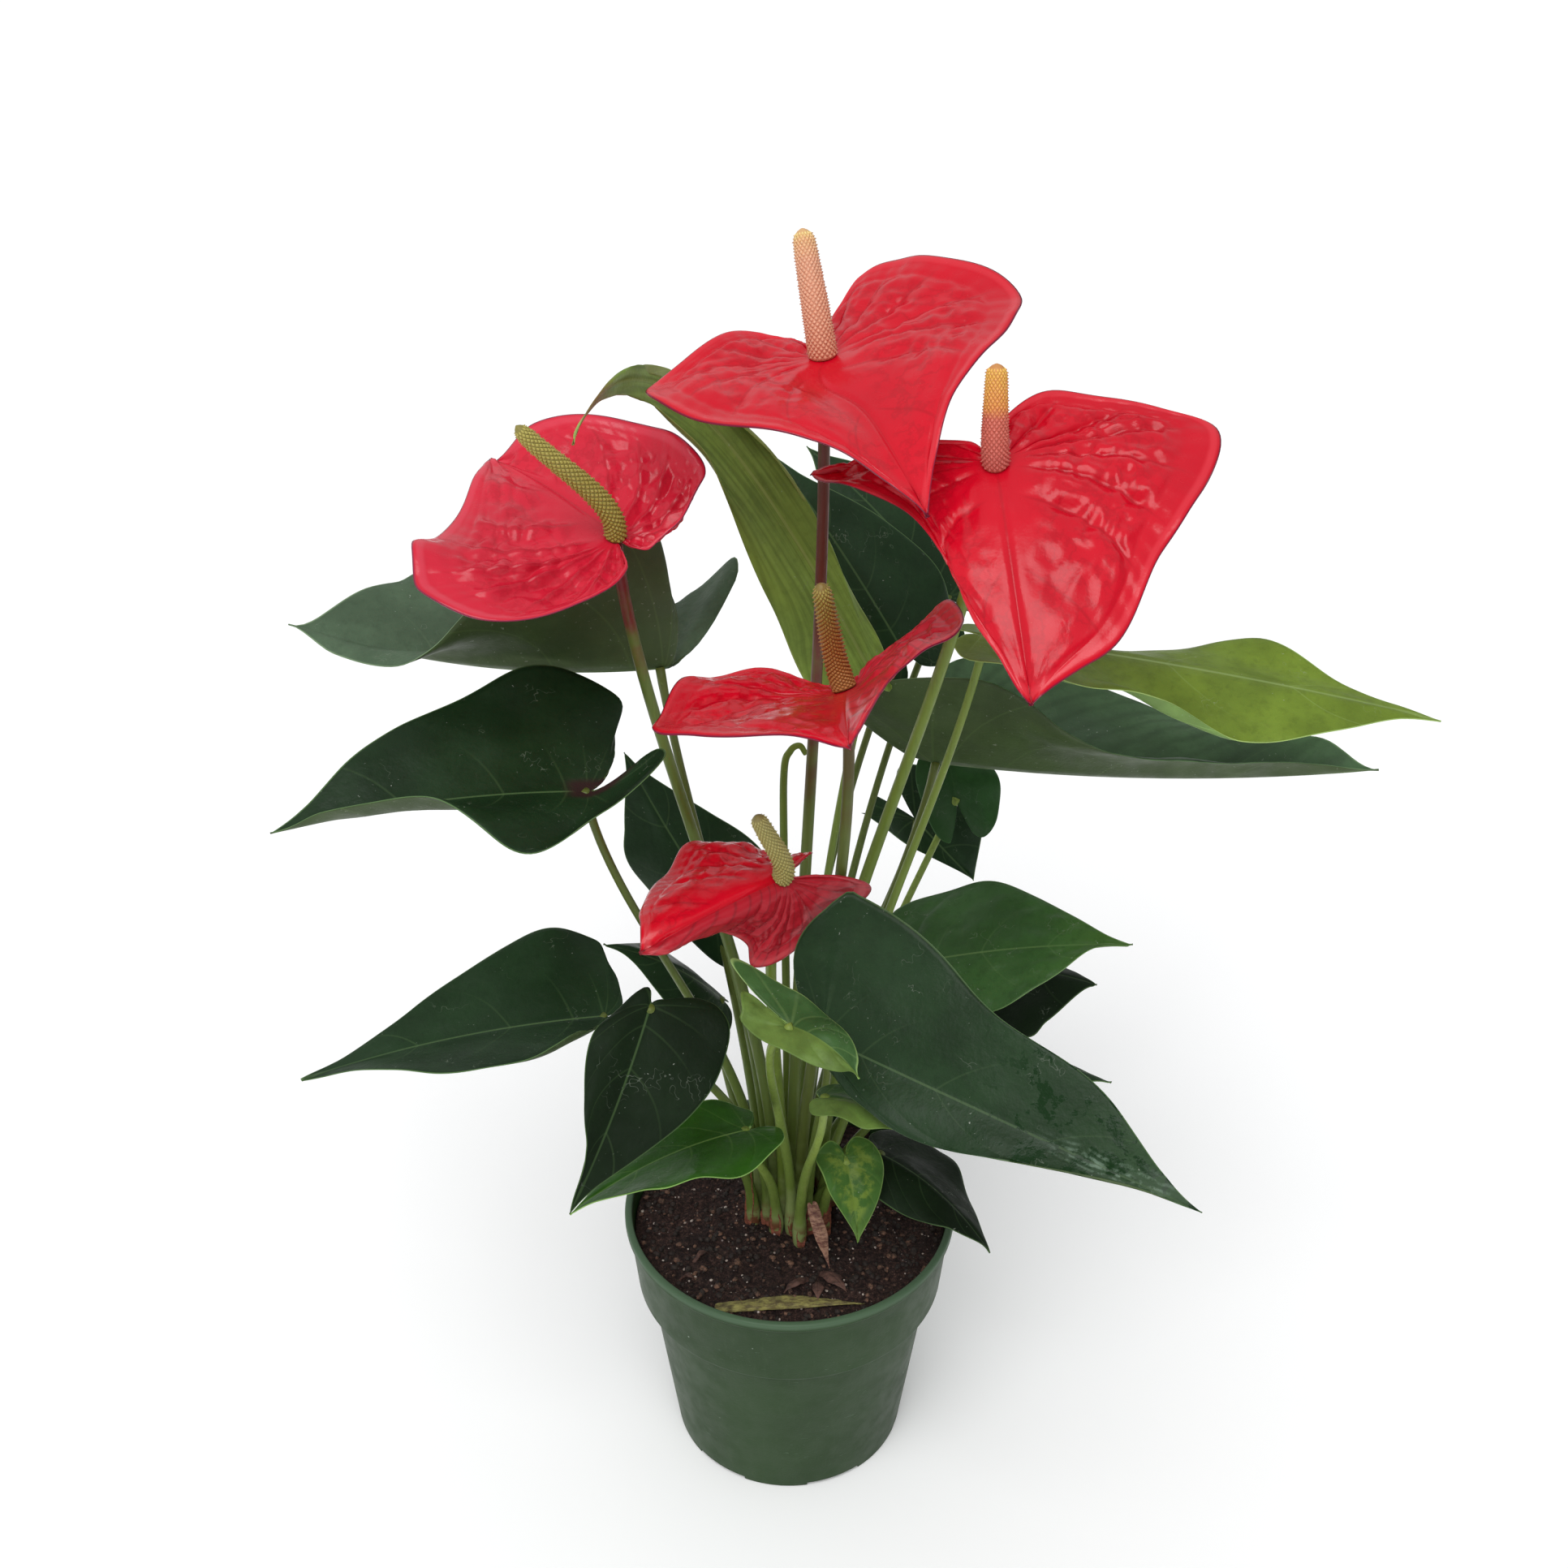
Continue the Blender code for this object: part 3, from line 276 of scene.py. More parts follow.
LEAVES = (
    Leaf("lime_right", Blade((60, 12, 327), (199, -10, 309), (105, -26, 315), (100, 38, 312), (10, 10), 2.0,
        (-2, 0), 7.0, 1.3, phase=0.54), (2, 1), "lime"),
    Leaf("long_right", Blade((49, 42, 264), (195, 25, 271), (66, 18, 305), (103, 80, 280), (12, 6), -4.0), (1,
        1)),
    Leaf("upper_left", Blade((-40, 10, 317), (-152, 0, 337), (-107, 45, 346), (-62, -2, 372), (30, 22), -6.0),
        (-1, 0)),
    Leaf("middle_left", Blade((-60, -40, 302), (-149, -60, 300), (-83, -5, 321), (-75, -80, 306), (24, 22)),
        (-2, -1)),
    Leaf("lower_left", Blade((-60, -30, 211), (-155, -50, 201), (-89, -5, 226), (-82, -68, 222), (20, 14)),
        (-2, -2)),
    Leaf("front_hanging", Blade((-42, -65, 242), (-65, -105, 196), (-60, -90, 231), (-19, -70, 230), (12,
        12)), (-1, -2)),
    Leaf("front_bright", Blade((-14, -45, 176), (-68, -85, 177), (-38, -45, 175), (-26, -85, 186), (12, 12)),
        (-1, -3), "bright"),
    Leaf("behind_left_low", Blade((-24, 22, 178), (-63, 5, 214), (-42, 42, 182), (-32, 8, 168), (10, 10)),
        (-2, 0)),
    Leaf("young_curled", Blade((0, -75, 242), (20, -88, 233), (-9, -82, 245), (10, -66, 247), (8, 8)), (0,
        -3), "young", (16, 2, 6)),
    Leaf("front_large", Blade((10, -55, 222), (118, -115, 206), (38, -88, 211), (18, -35, 259), (6, 12)), (1,
        -3)),
    Leaf("green_right", Blade((40, 30, 187), (119, 20, 203), (72, 5, 190), (68, 56, 206), (12, 8)), (2, -1),
        "mid"),
    Leaf("back_right_low", Blade((67, 70, 153), (114, 50, 163), (85, 30, 154), (95, 90, 146), (12, 12)), (2,
        3)),
    Leaf("hidden_right", Blade((51, 8, 168), (110, -12, 168), (69, -26, 174), (80, 28, 160), (12, 8)), (3,
        0)),
    Leaf("rim_right", Blade((31, -18, 142), (68, -45, 121), (41, -42, 134), (52, 0, 122), (3, 8)), (2, -2)),
    Leaf("young_folded", Blade((10, -62, 204), (44, -78, 198), (19, -78, 206), (23, -56, 199), (3, 3)), (1,
        -4), "young"),
    Leaf("young_heart", Blade((19, -31, 151), (23, -44, 125), (10, -36, 152), (32, -33, 149), (6, 6)), (2,
        -3), "fresh"),
    Leaf("behind_left", Blade((-27, 40, 208), (-58, 60, 257), (-9, 45, 230), (-56, 45, 218), (20, 28)), (-2,
        1)),
    Leaf("tall_olive", Blade((26, 25, 307), (-57, -50, 414), (14, 46, 345), (-7, 26, 343), (12, 12), 0.0, (0,
        0), 0.5, crest=(-30, 30, 395), taper=0.7), (1, 2), "olive"),
    Leaf("behind_dark", Blade((39, 75, 290), (-5, 100, 351), (51, 100, 312), (2, 82, 305), (14, 14)), (0, 2)),
    Leaf("behind_green", Blade((62, 85, 222), (55, 115, 242), (78, 90, 228), (47, 90, 228), (14, 14)), (2, 2),
        "mid"),
    Leaf("behind_right", Blade((49, 108, 199), (72, 102, 175), (28, 110, 201), (77, 114, 199), (18, 18)), (0,
        3)),
    Leaf("behind_grey", Blade((57, 100, 298), (6, 125, 345), (62, 125, 323), (16, 105, 326), (14, 14)), (1,
        3)),
)

# Where a half's margin leaves its even outline, for the left and the right half: share of the outline,
# then how far it moves along x, how far it is lifted and, where it matters, how far it comes forward
EDGES = {
    "top": (((0.3, 9, 1), (0.5, -2, -4), (0.8, -1, 3)), ((0.2, 5, 2), (0.4, -8, 4), (0.55, -2, 0), (0.85, -3,
        8))),
    "right": (((0.2, -2, 2), (0.4, -1, 8), (0.65, 9, 17), (0.85, 5, 8)), ((0.2, -6, 1), (0.5, -1, 4), (0.7,
        -1, 3), (0.9, 6, 0))),
    "left": (((0.1, -2, 2), (0.2, -7, 9), (0.4, -4, 3), (0.65, 1, 6), (0.9, -1, 6)), ((0.2, -4, 3), (0.35,
        -10, 0), (0.5, -7, -1), (0.6, 2, 1), (0.77, 7, -3), (0.9, 4, 0))),
    "centre": (((0.3, 4, 8), (0.4, 1, 9), (0.6, -1, 2), (0.85, 0, 2)), ((0.2, -3, 2), (0.4, 0, 3), (0.58, -1,
        -2), (0.75, -2, 3), (0.9, 0, 3))),
    "low": (((0.1, 3, 0), (0.25, -3, -6), (0.45, 1, -1), (0.75, -1, -2)), ((0.2, 16, 1, -6), (0.35, 6, 1),
        (0.5, 0, 1), (0.62, 5, 9), (0.8, 3, 12))),
    "lime_right": (((0.2, 5, 6), (0.35, 4, 5), (0.5, 5, 10), (0.62, 6, 0), (0.8, 1, -2)), ((0.3, 3, -5),
        (0.55, 2, -4), (0.67, 2, 7), (0.85, 0, 2))),
    "long_right": (((0.1, -14, 5), (0.35, -4, 3), (0.62, -13, -7), (0.8, -9, -2), (0.9, -2, 1)), ((0.25, 2,
        6), (0.4, -2, 1), (0.57, 1, -6), (0.8, 3, 0), (0.9, 3, 5))),
    "upper_left": (((0.1, -8, 3), (0.2, -2, 12), (0.3, 2, -5), (0.4, 11, -11), (0.5, 2, -2), (0.7, -3, -8),
        (0.9, -1, 1)), ((0.1, -14, 1), (0.2, -20, 2), (0.4, 0, 3), (0.6, -4, -10), (0.83, 1, -17), (0.93, 0,
        -8))),
    "middle_left": (((0.1, -9, 2), (0.2, -13, 1), (0.3, -1, 2), (0.4, 0, 4), (0.6, 0, 1), (0.85, 0, 4)),
        ((0.15, 0, 15), (0.3, -10, 8), (0.4, -8, 2), (0.7, 1, 12), (0.9, 0, 5))),
    "lower_left": (((0.2, -15, 0), (0.3, -6, 0), (0.45, 3, 1), (0.85, 4, -1)), ((0.2, -18, 3), (0.4, -5, 5),
        (0.6, 2, 0), (0.8, 3, 1))),
    "front_hanging": (((0.2, -2, -9), (0.4, -5, -3), (0.6, 1, -4), (0.8, 3, -2)), ((0.1, 0, -5), (0.3, -1, 0),
        (0.55, 4, 0), (0.8, 2, 0))),
    "front_bright": (((0.1, -5, 1), (0.3, 0, 6), (0.5, 1, 6), (0.7, -1, 1)), ((0.2, -6, 2), (0.4, -4, 0),
        (0.7, -5, 4), (0.9, -2, 1))),
    "young_curled": (((0.2, -4, 9), (0.5, 0, -1), (0.7, 4, -4)), ((0.2, -14, 12), (0.4, -6, 1), (0.85, 2,
        -2))),
    "front_large": (((0.1, 9, -1), (0.2, 6, -2), (0.35, 0, -1), (0.85, 0, 2)), ((0.2, -5, 4, 4), (0.3, 6, 1,
        4), (0.55, 3, -2), (0.8, 5, 4), (0.9, 4, 0))),
    "green_right": (((0.8, -4, 0), (0.9, -3, 2)), ()),
    "hidden_right": ((), ((0.5, -4, -2), (0.7, -2, -5), (0.9, 1, -3))),
    "rim_right": (((0.3, 0, -3), (0.6, 4, 0)), ((0.5, 4, 4), (0.7, 2, 1))),
    "young_folded": (((0.55, 3, 1),), ((0.4, -2, 4), (0.7, -2, -1))),
    "behind_left": (((0.55, 0, -4), (0.75, -2, -2)), ()),
    "tall_olive": (((0.1, -8, 12), (0.2, -4, 1), (0.45, 5, -5), (0.7, 0, 0)), ((0.1, -16, 13), (0.3, -5, 4),
        (0.55, 4, 3), (0.7, 0, 0))),
}
EVEN = ((), ())
LIFT = (0.0, 0.6, 1.0)  # a lifted margin also moves back
FORWARD = (0.0, -1.0, 0.6)  # one that comes forward also rises

DRY_SHEATH = Blade((8, -19, 118), (14, -30, 99), (8.6, -23.5, 110), (12.6, -23, 110), (1.5, 1.5), 1.0, (1, 1),
                   0.3)
DEAD_LEAF = Blade((-25, -46, 94.95), (26, -43, 94.95), (0, -45.5, 94.95), (0, -40, 95.5), (1, 1), 1.2, (0, 0),
                   0.3)


# Materials. Noise has a size in millimetres and a detail, then the span it is read over

def scaled(colour, share, more=0.0):
    """The colour multiplied, and raised by a little grey."""
    return [min(1.0, share * c + more) for c in colour]


class Look:
    """A material in the making: calls that add nodes, and the colour built up so far."""

    def __init__(self, name, colour):
        self.material = bpy.data.materials.new(name)
        self.material.use_nodes = True
        self.tree = self.material.node_tree
        self.shader = self.tree.nodes["Principled BSDF"]
        self.colour = colour

    def add(self, kind, **values):
        """A node with its properties set."""
        node = self.tree.nodes.new("ShaderNode" + kind)
        for key, value in values.items():
            setattr(node, key, value)
        return node

    def put(self, node, *values, **named):
        """Link a socket, or set a number or colour, on inputs in order or by name, with _ for a space."""
        pairs = [(node.inputs[key.replace("_", " ")], value) for key, value in named.items()]
        for socket, value in [*zip(node.inputs, values), *pairs]:
            if isinstance(value, bpy.types.NodeSocket):
                self.tree.links.new(value, socket)
            elif isinstance(value, (tuple, list)) and len(value) == 3 and len(socket.default_value) == 4:
                socket.default_value = (*value, 1.0)
            else:
                socket.default_value = value
        return node.outputs[0]

    def math(self, operation, a, b=0.0):
        """A math node's result."""
        return self.put(self.add("Math", operation=operation), a, b)

    def times(self, value, *others):
        """The product of all."""
        for other in others:
            value = self.math("MULTIPLY", value, other)
        return value

    def waves(self, value):
        """How far the value's sine is from zero."""
        return self.math("ABSOLUTE", self.math("SINE", value))

    def span(self, value, low, high, a=0.0, b=1.0):
        """The value's place between low and high, taken to a and b, smoothly."""
        node = self.add("MapRange", interpolation_type="SMOOTHSTEP")
        return self.put(node, Value=value, From_Min=low, From_Max=high, To_Min=a, To_Max=b)

    def fade(self, value, low, high, a=1.0):
        """From a below low to nothing above high."""
        return self.span(value, low, high, a, 0.0)

    def mix(self, share, a, b):
        """Two colours mixed."""
        node = self.add("Mix", data_type="RGBA")
        self.put(node, Factor=share, A=a, B=b)
        return node.outputs["Result"]

    def paint(self, share, colour):
        """Lay a colour over the one so far."""
        self.colour = self.mix(share, self.colour, colour)

    def values(self, names):
        """Numbers stored on the mesh."""
        return [self.add("Attribute", attribute_name=name).outputs["Fac"] for name in names.split()]

    def place(self):
        """The place on the object."""
        return self.add("TexCoord").outputs["Object"]

    def noise(self, size, detail=3.0, stretch=(1, 1, 1), rough=0.55):
        """Noise with features of about that size."""
        place = self.put(self.add("Mapping"), Vector=self.place(), Scale=Vector(stretch) / (size * MM))
        return self.put(self.add("TexNoise"), Vector=place, Scale=1.0, Detail=detail, Roughness=rough)

    def patches(self, size, detail, low, high, a=0.0, b=1.0, **more):
        """Noise of that size, spread between a low and a high value."""
        return self.span(self.noise(size, detail, **more), low, high, a, b)

    def dots(self, size, low, high):
        """Round dots near scattered points that lie about that far apart."""
        node = self.add("TexVoronoi")
        self.put(node, Vector=self.place(), Scale=1.0 / (size * MM))
        return self.fade(node.outputs["Distance"], low, high)

    def ramp(self, value, stops):
        """A colour ramp of (place, colour) stops."""
        node = self.add("ValToRGB")
        elements = node.color_ramp.elements
        while len(elements) < len(stops):
            elements.new(0.5)
        for element, (place, colour) in zip(elements, stops):
            element.position = place
            element.color = (*colour, 1.0)
        return self.put(node, Fac=value)

    def finish(self, height, distance, strength, rough, specular=0.5):
        """Give the shader its bump, of that depth, its colour, its roughness and its specular level."""
        node = self.add("Bump")
        normal = self.put(node, Height=height, Distance=distance * MM, Strength=strength)
        self.put(self.shader, Base_Color=self.colour, Normal=normal, Roughness=rough,
                 Specular_IOR_Level=specular)
        return self.material


def leaf_material(name, base, ribs, gloss, dusty, tip=None, wet=0.0, near=None, dry_from=None, scar=False,
                  rib_width=0.5, blotch=None, banded=0.0, streaked=0.0):
    """A leaf's face: pale midrib and veins, a pale margin, mottling, dust mixed with painted sheen, specks,
    scratches, and painted sheen streaks on a wet leaf.

    A young leaf still shows its near half's pale underside, because that half is rolled over.
    """
    n = Look(name, base)
    vein, rib, edge, along, half, phase = n.values("vein rib edge along half phase")
    n.paint(n.patches(22, 4, 0.35, 0.7), scaled(base, 1.45))
    if tip:
        n.paint(n.span(along, 0.55, 1.0, 0.0, 0.8), tip)
    n.paint(n.patches(3.2, 5, 0.45, 0.72, 0.0, 0.35, rough=0.7), scaled(base, 0.6))
    n.paint(n.times(n.fade(vein, 0.12, 0.55), n.fade(rib, 2.0, 22.0, 0.20)), ribs)
    n.paint(n.times(n.fade(rib, 0.4 * rib_width, rib_width), n.span(along, 0.0, 1.0, 0.75, 0.35)), ribs)
    n.paint(n.fade(edge, 0.1, 0.55, 0.75), scaled(ribs, 1.5))
    # Broad pale grey-green patches: partly dust, partly painted sheen
    n.paint(n.times(n.patches(34, 3, 0.42, 0.7), dusty), DUST_AND_SHEEN)
    n.paint(n.times(n.patches(1.1, 2, 0.70, 0.76), n.patches(13, 2, 0.5, 0.62), 0.55), (0.42, 0.46, 0.40))
    course = n.math("ABSOLUTE", n.math("SUBTRACT", n.noise(11, 3, rough=0.65), 0.5))
    scratch = n.times(n.fade(course, 0.0015, 0.005, 0.5), n.patches(15, 2, 0.56, 0.64))
    n.paint(scratch, scaled(ribs, 0.5, 0.10))
    rough = n.patches(9, 4, 0.3, 0.75, gloss, gloss + 0.16)
    if banded:
        bands = n.waves(n.math("ADD", n.times(phase, 9.4), n.times(n.noise(14, 2), 2.0)))
        n.paint(n.fade(bands, 0.15, 0.9, banded), scaled(base, 0.62))
    if streaked:
        place = n.put(n.add("CombineXYZ"), X=n.times(rib, 0.6), Y=n.times(along, 5.0), Z=n.times(half, 9.0))
        grain = n.put(n.add("TexNoise"), Vector=place, Scale=1.0, Detail=4.0)
        n.paint(n.fade(grain, 0.36, 0.56, streaked), scaled(base, 0.5))
        n.paint(n.span(grain, 0.56, 0.68, 0.0, 0.6 * streaked), scaled(base, 1.7, 0.02))
    if blotch:
        n.paint(n.times(n.span(edge, 2.0, 5.0), n.patches(4.0, 4, 0.42, 0.6, rough=0.65)), blotch)
    if scar:
        spot = n.times(n.fade(along, 0.03, 0.09), n.fade(rib, 2.5, 5.5))
        n.paint(spot, (0.030, 0.014, 0.012))
        rough = n.math("ADD", rough, n.times(spot, 0.3))
    if dry_from:
        n.paint(n.span(along, dry_from, dry_from + 0.1, 0.0, 0.85), (0.20, 0.11, 0.035))
    if near:
        n.paint(n.fade(half, 0.3, 0.7), n.mix(n.patches(6, 4, 0.35, 0.7), near, scaled(near, 0.7)))
    if wet:
        patch = n.times(n.patches(6.5, 4, 0.535, 0.56, rough=0.6), n.span(along, 0.35, 0.55), wet)
        n.paint(patch, (0.004, 0.024, 0.004))
        rough = n.span(patch, 0.0, 1.0, gloss + 0.06, 0.22)
        # Painted sheen: thin pale streaks along the midrib towards the tip
        lines = n.waves(n.math("ADD", n.times(rib, 1.7), n.times(n.noise(12, 3), 7.0)))
        streak = n.times(n.span(along, 0.56, 0.74), n.fade(along, 0.86, 0.95),
                         n.fade(rib, 1.0, 5.0), n.span(lines, 0.5, 1.0, 0.1, 0.7),
                         n.patches(5.5, 5, 0.42, 0.6, 0.0, 0.8, rough=0.75))
        n.paint(streak, (0.21, 0.30, 0.22))
    height = n.math("ADD", n.times(n.noise(1.6, 3), 0.5), n.times(n.noise(5.0, 3), 1.0))
    return n.finish(height, 0.32, 0.8, rough, 0.15)


def under_material(name, base):
    """A leaf's underside: matte, with raised veins of a paler colour."""
    n = Look(name, base)
    vein, rib = n.values("vein rib")
    n.paint(n.patches(18, 4, 0.35, 0.7), scaled(base, 1.35))
    n.paint(n.times(n.fade(vein, 0.15, 0.6), 0.4), scaled(base, 1.9))
    n.paint(n.fade(rib, 0.5, 1.2, 0.8), scaled(base, 2.2))
    n.paint(n.patches(1.4, 2, 0.68, 0.75, 0.0, 0.4), (0.35, 0.38, 0.30))
    return n.finish(n.noise(1.2, 4), 0.2, 0.6, n.patches(7, 3, 0.3, 0.7, 0.42, 0.6), 0.35)


def spathe_material(name, base, shade_colour, rim, highlight_band, folded=None):
    """A spathe's waxy face: glossy, with painted shade in its vein channels, hollows and midrib groove, and a
    thin dark margin inside a band of painted highlight.

    A folded right half shows its duller side, in that colour and with brownish streaks.
    """
    n = Look(name, base)
    vein, rib, edge, share, half, phase = n.values("vein rib edge share half phase")
    n.paint(n.patches(30, 3, 0.35, 0.7), scaled(base, 0.88))
    rough = n.patches(7, 3, 0.3, 0.75, 0.19, 0.30)
    if folded:
        side = n.span(half, 0.3, 0.7)
        streaks = n.span(n.waves(n.times(phase, 9.4)), 0.0, 0.5, 0.6, 0.0)
        n.paint(side, n.mix(streaks, folded, [folded[0] * 0.45, folded[1], folded[2] * 0.7]))
        rough = n.math("ADD", rough, n.times(side, 0.1))
    # Painted shade: darker red in the vein channels
    n.paint(n.times(n.fade(vein, 0.1, 0.8), n.span(share, 0.06, 0.2),
                    n.fade(share, 0.75, 0.95), 0.55), shade_colour)
    # Painted shade: thin darker lines over the quilted middle, for shade in its hollows
    hollows = n.math("ABSOLUTE", n.math("SUBTRACT", n.noise(7.5, 4, rough=0.6), 0.5))
    inner = n.times(n.span(share, 0.08, 0.3), n.fade(share, 0.7, 0.88))
    n.paint(n.times(n.fade(hollows, 0.0, 0.06, 0.35), inner), scaled(shade_colour, 0.85))
    # Painted shade: darker red along the midrib groove
    n.paint(n.fade(rib, 0.1, 0.8, 0.4), shade_colour)
    # Painted highlight: a lighter band just inside the margin, over the rolled edge
    n.paint(n.times(n.span(edge, 0.7, 1.5), n.fade(edge, 2.2, 3.6, 0.4)), highlight_band)
    n.paint(n.fade(edge, 0.1, 0.65, 0.9), rim)
    n.paint(n.times(n.patches(0.9, 2, 0.76, 0.80), 0.3), (0.75, 0.25, 0.22))
    return n.finish(n.math("ADD", n.noise(2.8, 3), n.times(n.noise(0.8, 2), 0.2)), 0.16, 0.6, rough, 0.30)


def stem_material(name, low, high, turn):
    """A stem: one colour near the soil and another near the top, streaked and flecked."""
    n = Look(name, low)
    along, = n.values("along")
    mottled = n.math("ADD", along, n.times(n.math("SUBTRACT", n.noise(14, 3), 0.5), 0.35))
    n.paint(n.span(mottled, *turn), high)
    streak = n.noise(1.3, 3, stretch=(1, 1, 0.06))
    n.paint(n.span(streak, 0.45, 0.8, 0.0, 0.5), scaled(low, 0.6))
    n.paint(n.patches(0.8, 2, 0.66, 0.74, 0.0, 0.5), scaled(high, 1.7))
    n.paint(n.fade(mottled, 0.02, 0.14, 0.8), (0.27, 0.33, 0.13))
    n.paint(n.times(n.fade(along, 0.03, 0.075), n.patches(5, 3, 0.42, 0.58)), (0.16, 0.065, 0.03))
    return n.finish(streak, 0.25, 0.7, n.patches(6, 3, 0.3, 0.7, 0.34, 0.5), 0.3)


def spadix_material(name, stops, groove):
    """A spadix: colours along its length, dark between its florets and pale at their tips."""
    n = Look(name, groove)
    along, height = n.values("along floret")
    moved = n.math("ADD", along, n.times(n.math("SUBTRACT", n.noise(2.5, 3), 0.5), 0.10))
    n.colour = n.ramp(moved, stops)
    n.paint(n.fade(height, 0.05, 0.75, 0.9), groove)
    n.paint(n.times(n.span(height, 0.76, 0.98), n.patches(1.6, 2, 0.4, 0.55, 0.15, 0.8)),
            scaled(stops[1][1], 1.25, 0.10))
    n.paint(n.patches(0.7, 3, 0.6, 0.75, 0.0, 0.4), scaled(groove, 1.6))
    return n.finish(n.noise(0.8, 3), 0.3, 0.8, n.patches(2, 3, 0.3, 0.7, 0.42, 0.6))


def soil_material(name, stops):
    """Dark potting mix: crumbs of black and brown peat with damp and dry places."""
    n = Look(name, None)
    n.colour = n.ramp(n.noise(1.4, 6, rough=0.85), stops)
    n.paint(n.patches(17, 3, 0.4, 0.7, 0.0, 0.5), (0.012, 0.008, 0.008))
    n.paint(n.times(n.dots(2.6, 0.10, 0.16), n.patches(2.0, 1, 0.52, 0.56)), (0.36, 0.30, 0.28))
    height = n.math("ADD", n.noise(1.2, 6, rough=0.75), n.times(n.noise(4.5, 3), 0.8))
    return n.finish(height, 1.3, 1.0, n.patches(5, 3, 0.3, 0.7, 0.75, 0.98), 0.25)


def grain_material(name, light, dark):
    """Loose bits of one kind, mottled."""
    n = Look(name, light)
    n.paint(n.patches(1.3, 4, 0.35, 0.65, rough=0.7), dark)
    return n.finish(n.noise(0.5, 4), 0.3, 0.8, n.patches(1.0, 2, 0.3, 0.7, 0.7, 0.95))


def pot_material(name, base, worn):
    """Moulded green plastic with a satin skin, flow marks, dust, scuffs and a few specks."""
    n = Look(name, base)
    lip, = n.values("edge")
    n.paint(n.patches(45, 3, 0.35, 0.7), scaled(base, 0.82))
    n.paint(n.patches(2.6, 6, 0.52, 0.75, 0.0, 0.35, stretch=(1, 1, 0.25), rough=0.7), worn)
    n.paint(n.span(lip, 0.0, 1.0, 0.0, 0.75), (0.080, 0.135, 0.080))
    scuff = n.times(n.patches(1.1, 4, 0.66, 0.72, stretch=(0.25, 0.25, 3.0)), n.patches(20, 2, 0.52, 0.62))
    n.paint(n.times(scuff, 0.5), (0.16, 0.24, 0.17))
    n.paint(n.times(n.dots(7.5, 0.035, 0.055), n.patches(9, 1, 0.5, 0.6), 0.7), (0.35, 0.42, 0.35))
    height = n.math("ADD", n.times(n.noise(0.8, 3), 0.35), n.times(n.noise(12, 2, stretch=(1, 1, 0.3)), 1.0))
    return n.finish(height, 0.22, 0.6, n.patches(8, 4, 0.3, 0.75, 0.42, 0.56), 0.18)


def dry_material(name, light, dark):
    """Papery dead tissue with fibres along it."""
    n = Look(name, light)
    streak = n.noise(1.0, 4, stretch=(0.25, 0.6, 1.0), rough=0.7)
    n.paint(n.span(streak, 0.35, 0.65), dark)
    n.paint(n.patches(4, 3, 0.5, 0.7, 0.0, 0.6), scaled(dark, 0.5))
    return n.finish(streak, 0.4, 0.9, n.patches(3, 2, 0.3, 0.7, 0.65, 0.9))


DARK = (0.010, 0.028, 0.009)
MID = (0.022, 0.068, 0.018)
PALE_UNDER = (0.13, 0.215, 0.045)
# Pale grey-green laid over the leaves: partly dust, partly painted sheen
DUST_AND_SHEEN = (0.048, 0.088, 0.048)
RIBS = (0.085, 0.15, 0.055)
MID_TIP = (0.06, 0.14, 0.025)
RED = (0.60, 0.002, 0.016)
# Darker red for the painted shade in the spathes' channels and hollows
SHADE_RED = (0.40, 0.001, 0.010)
RIM = (0.13, 0.004, 0.03)
# Lighter red of the painted highlight inside the spathes' margins
HIGHLIGHT_BAND = (0.74, 0.05, 0.07)

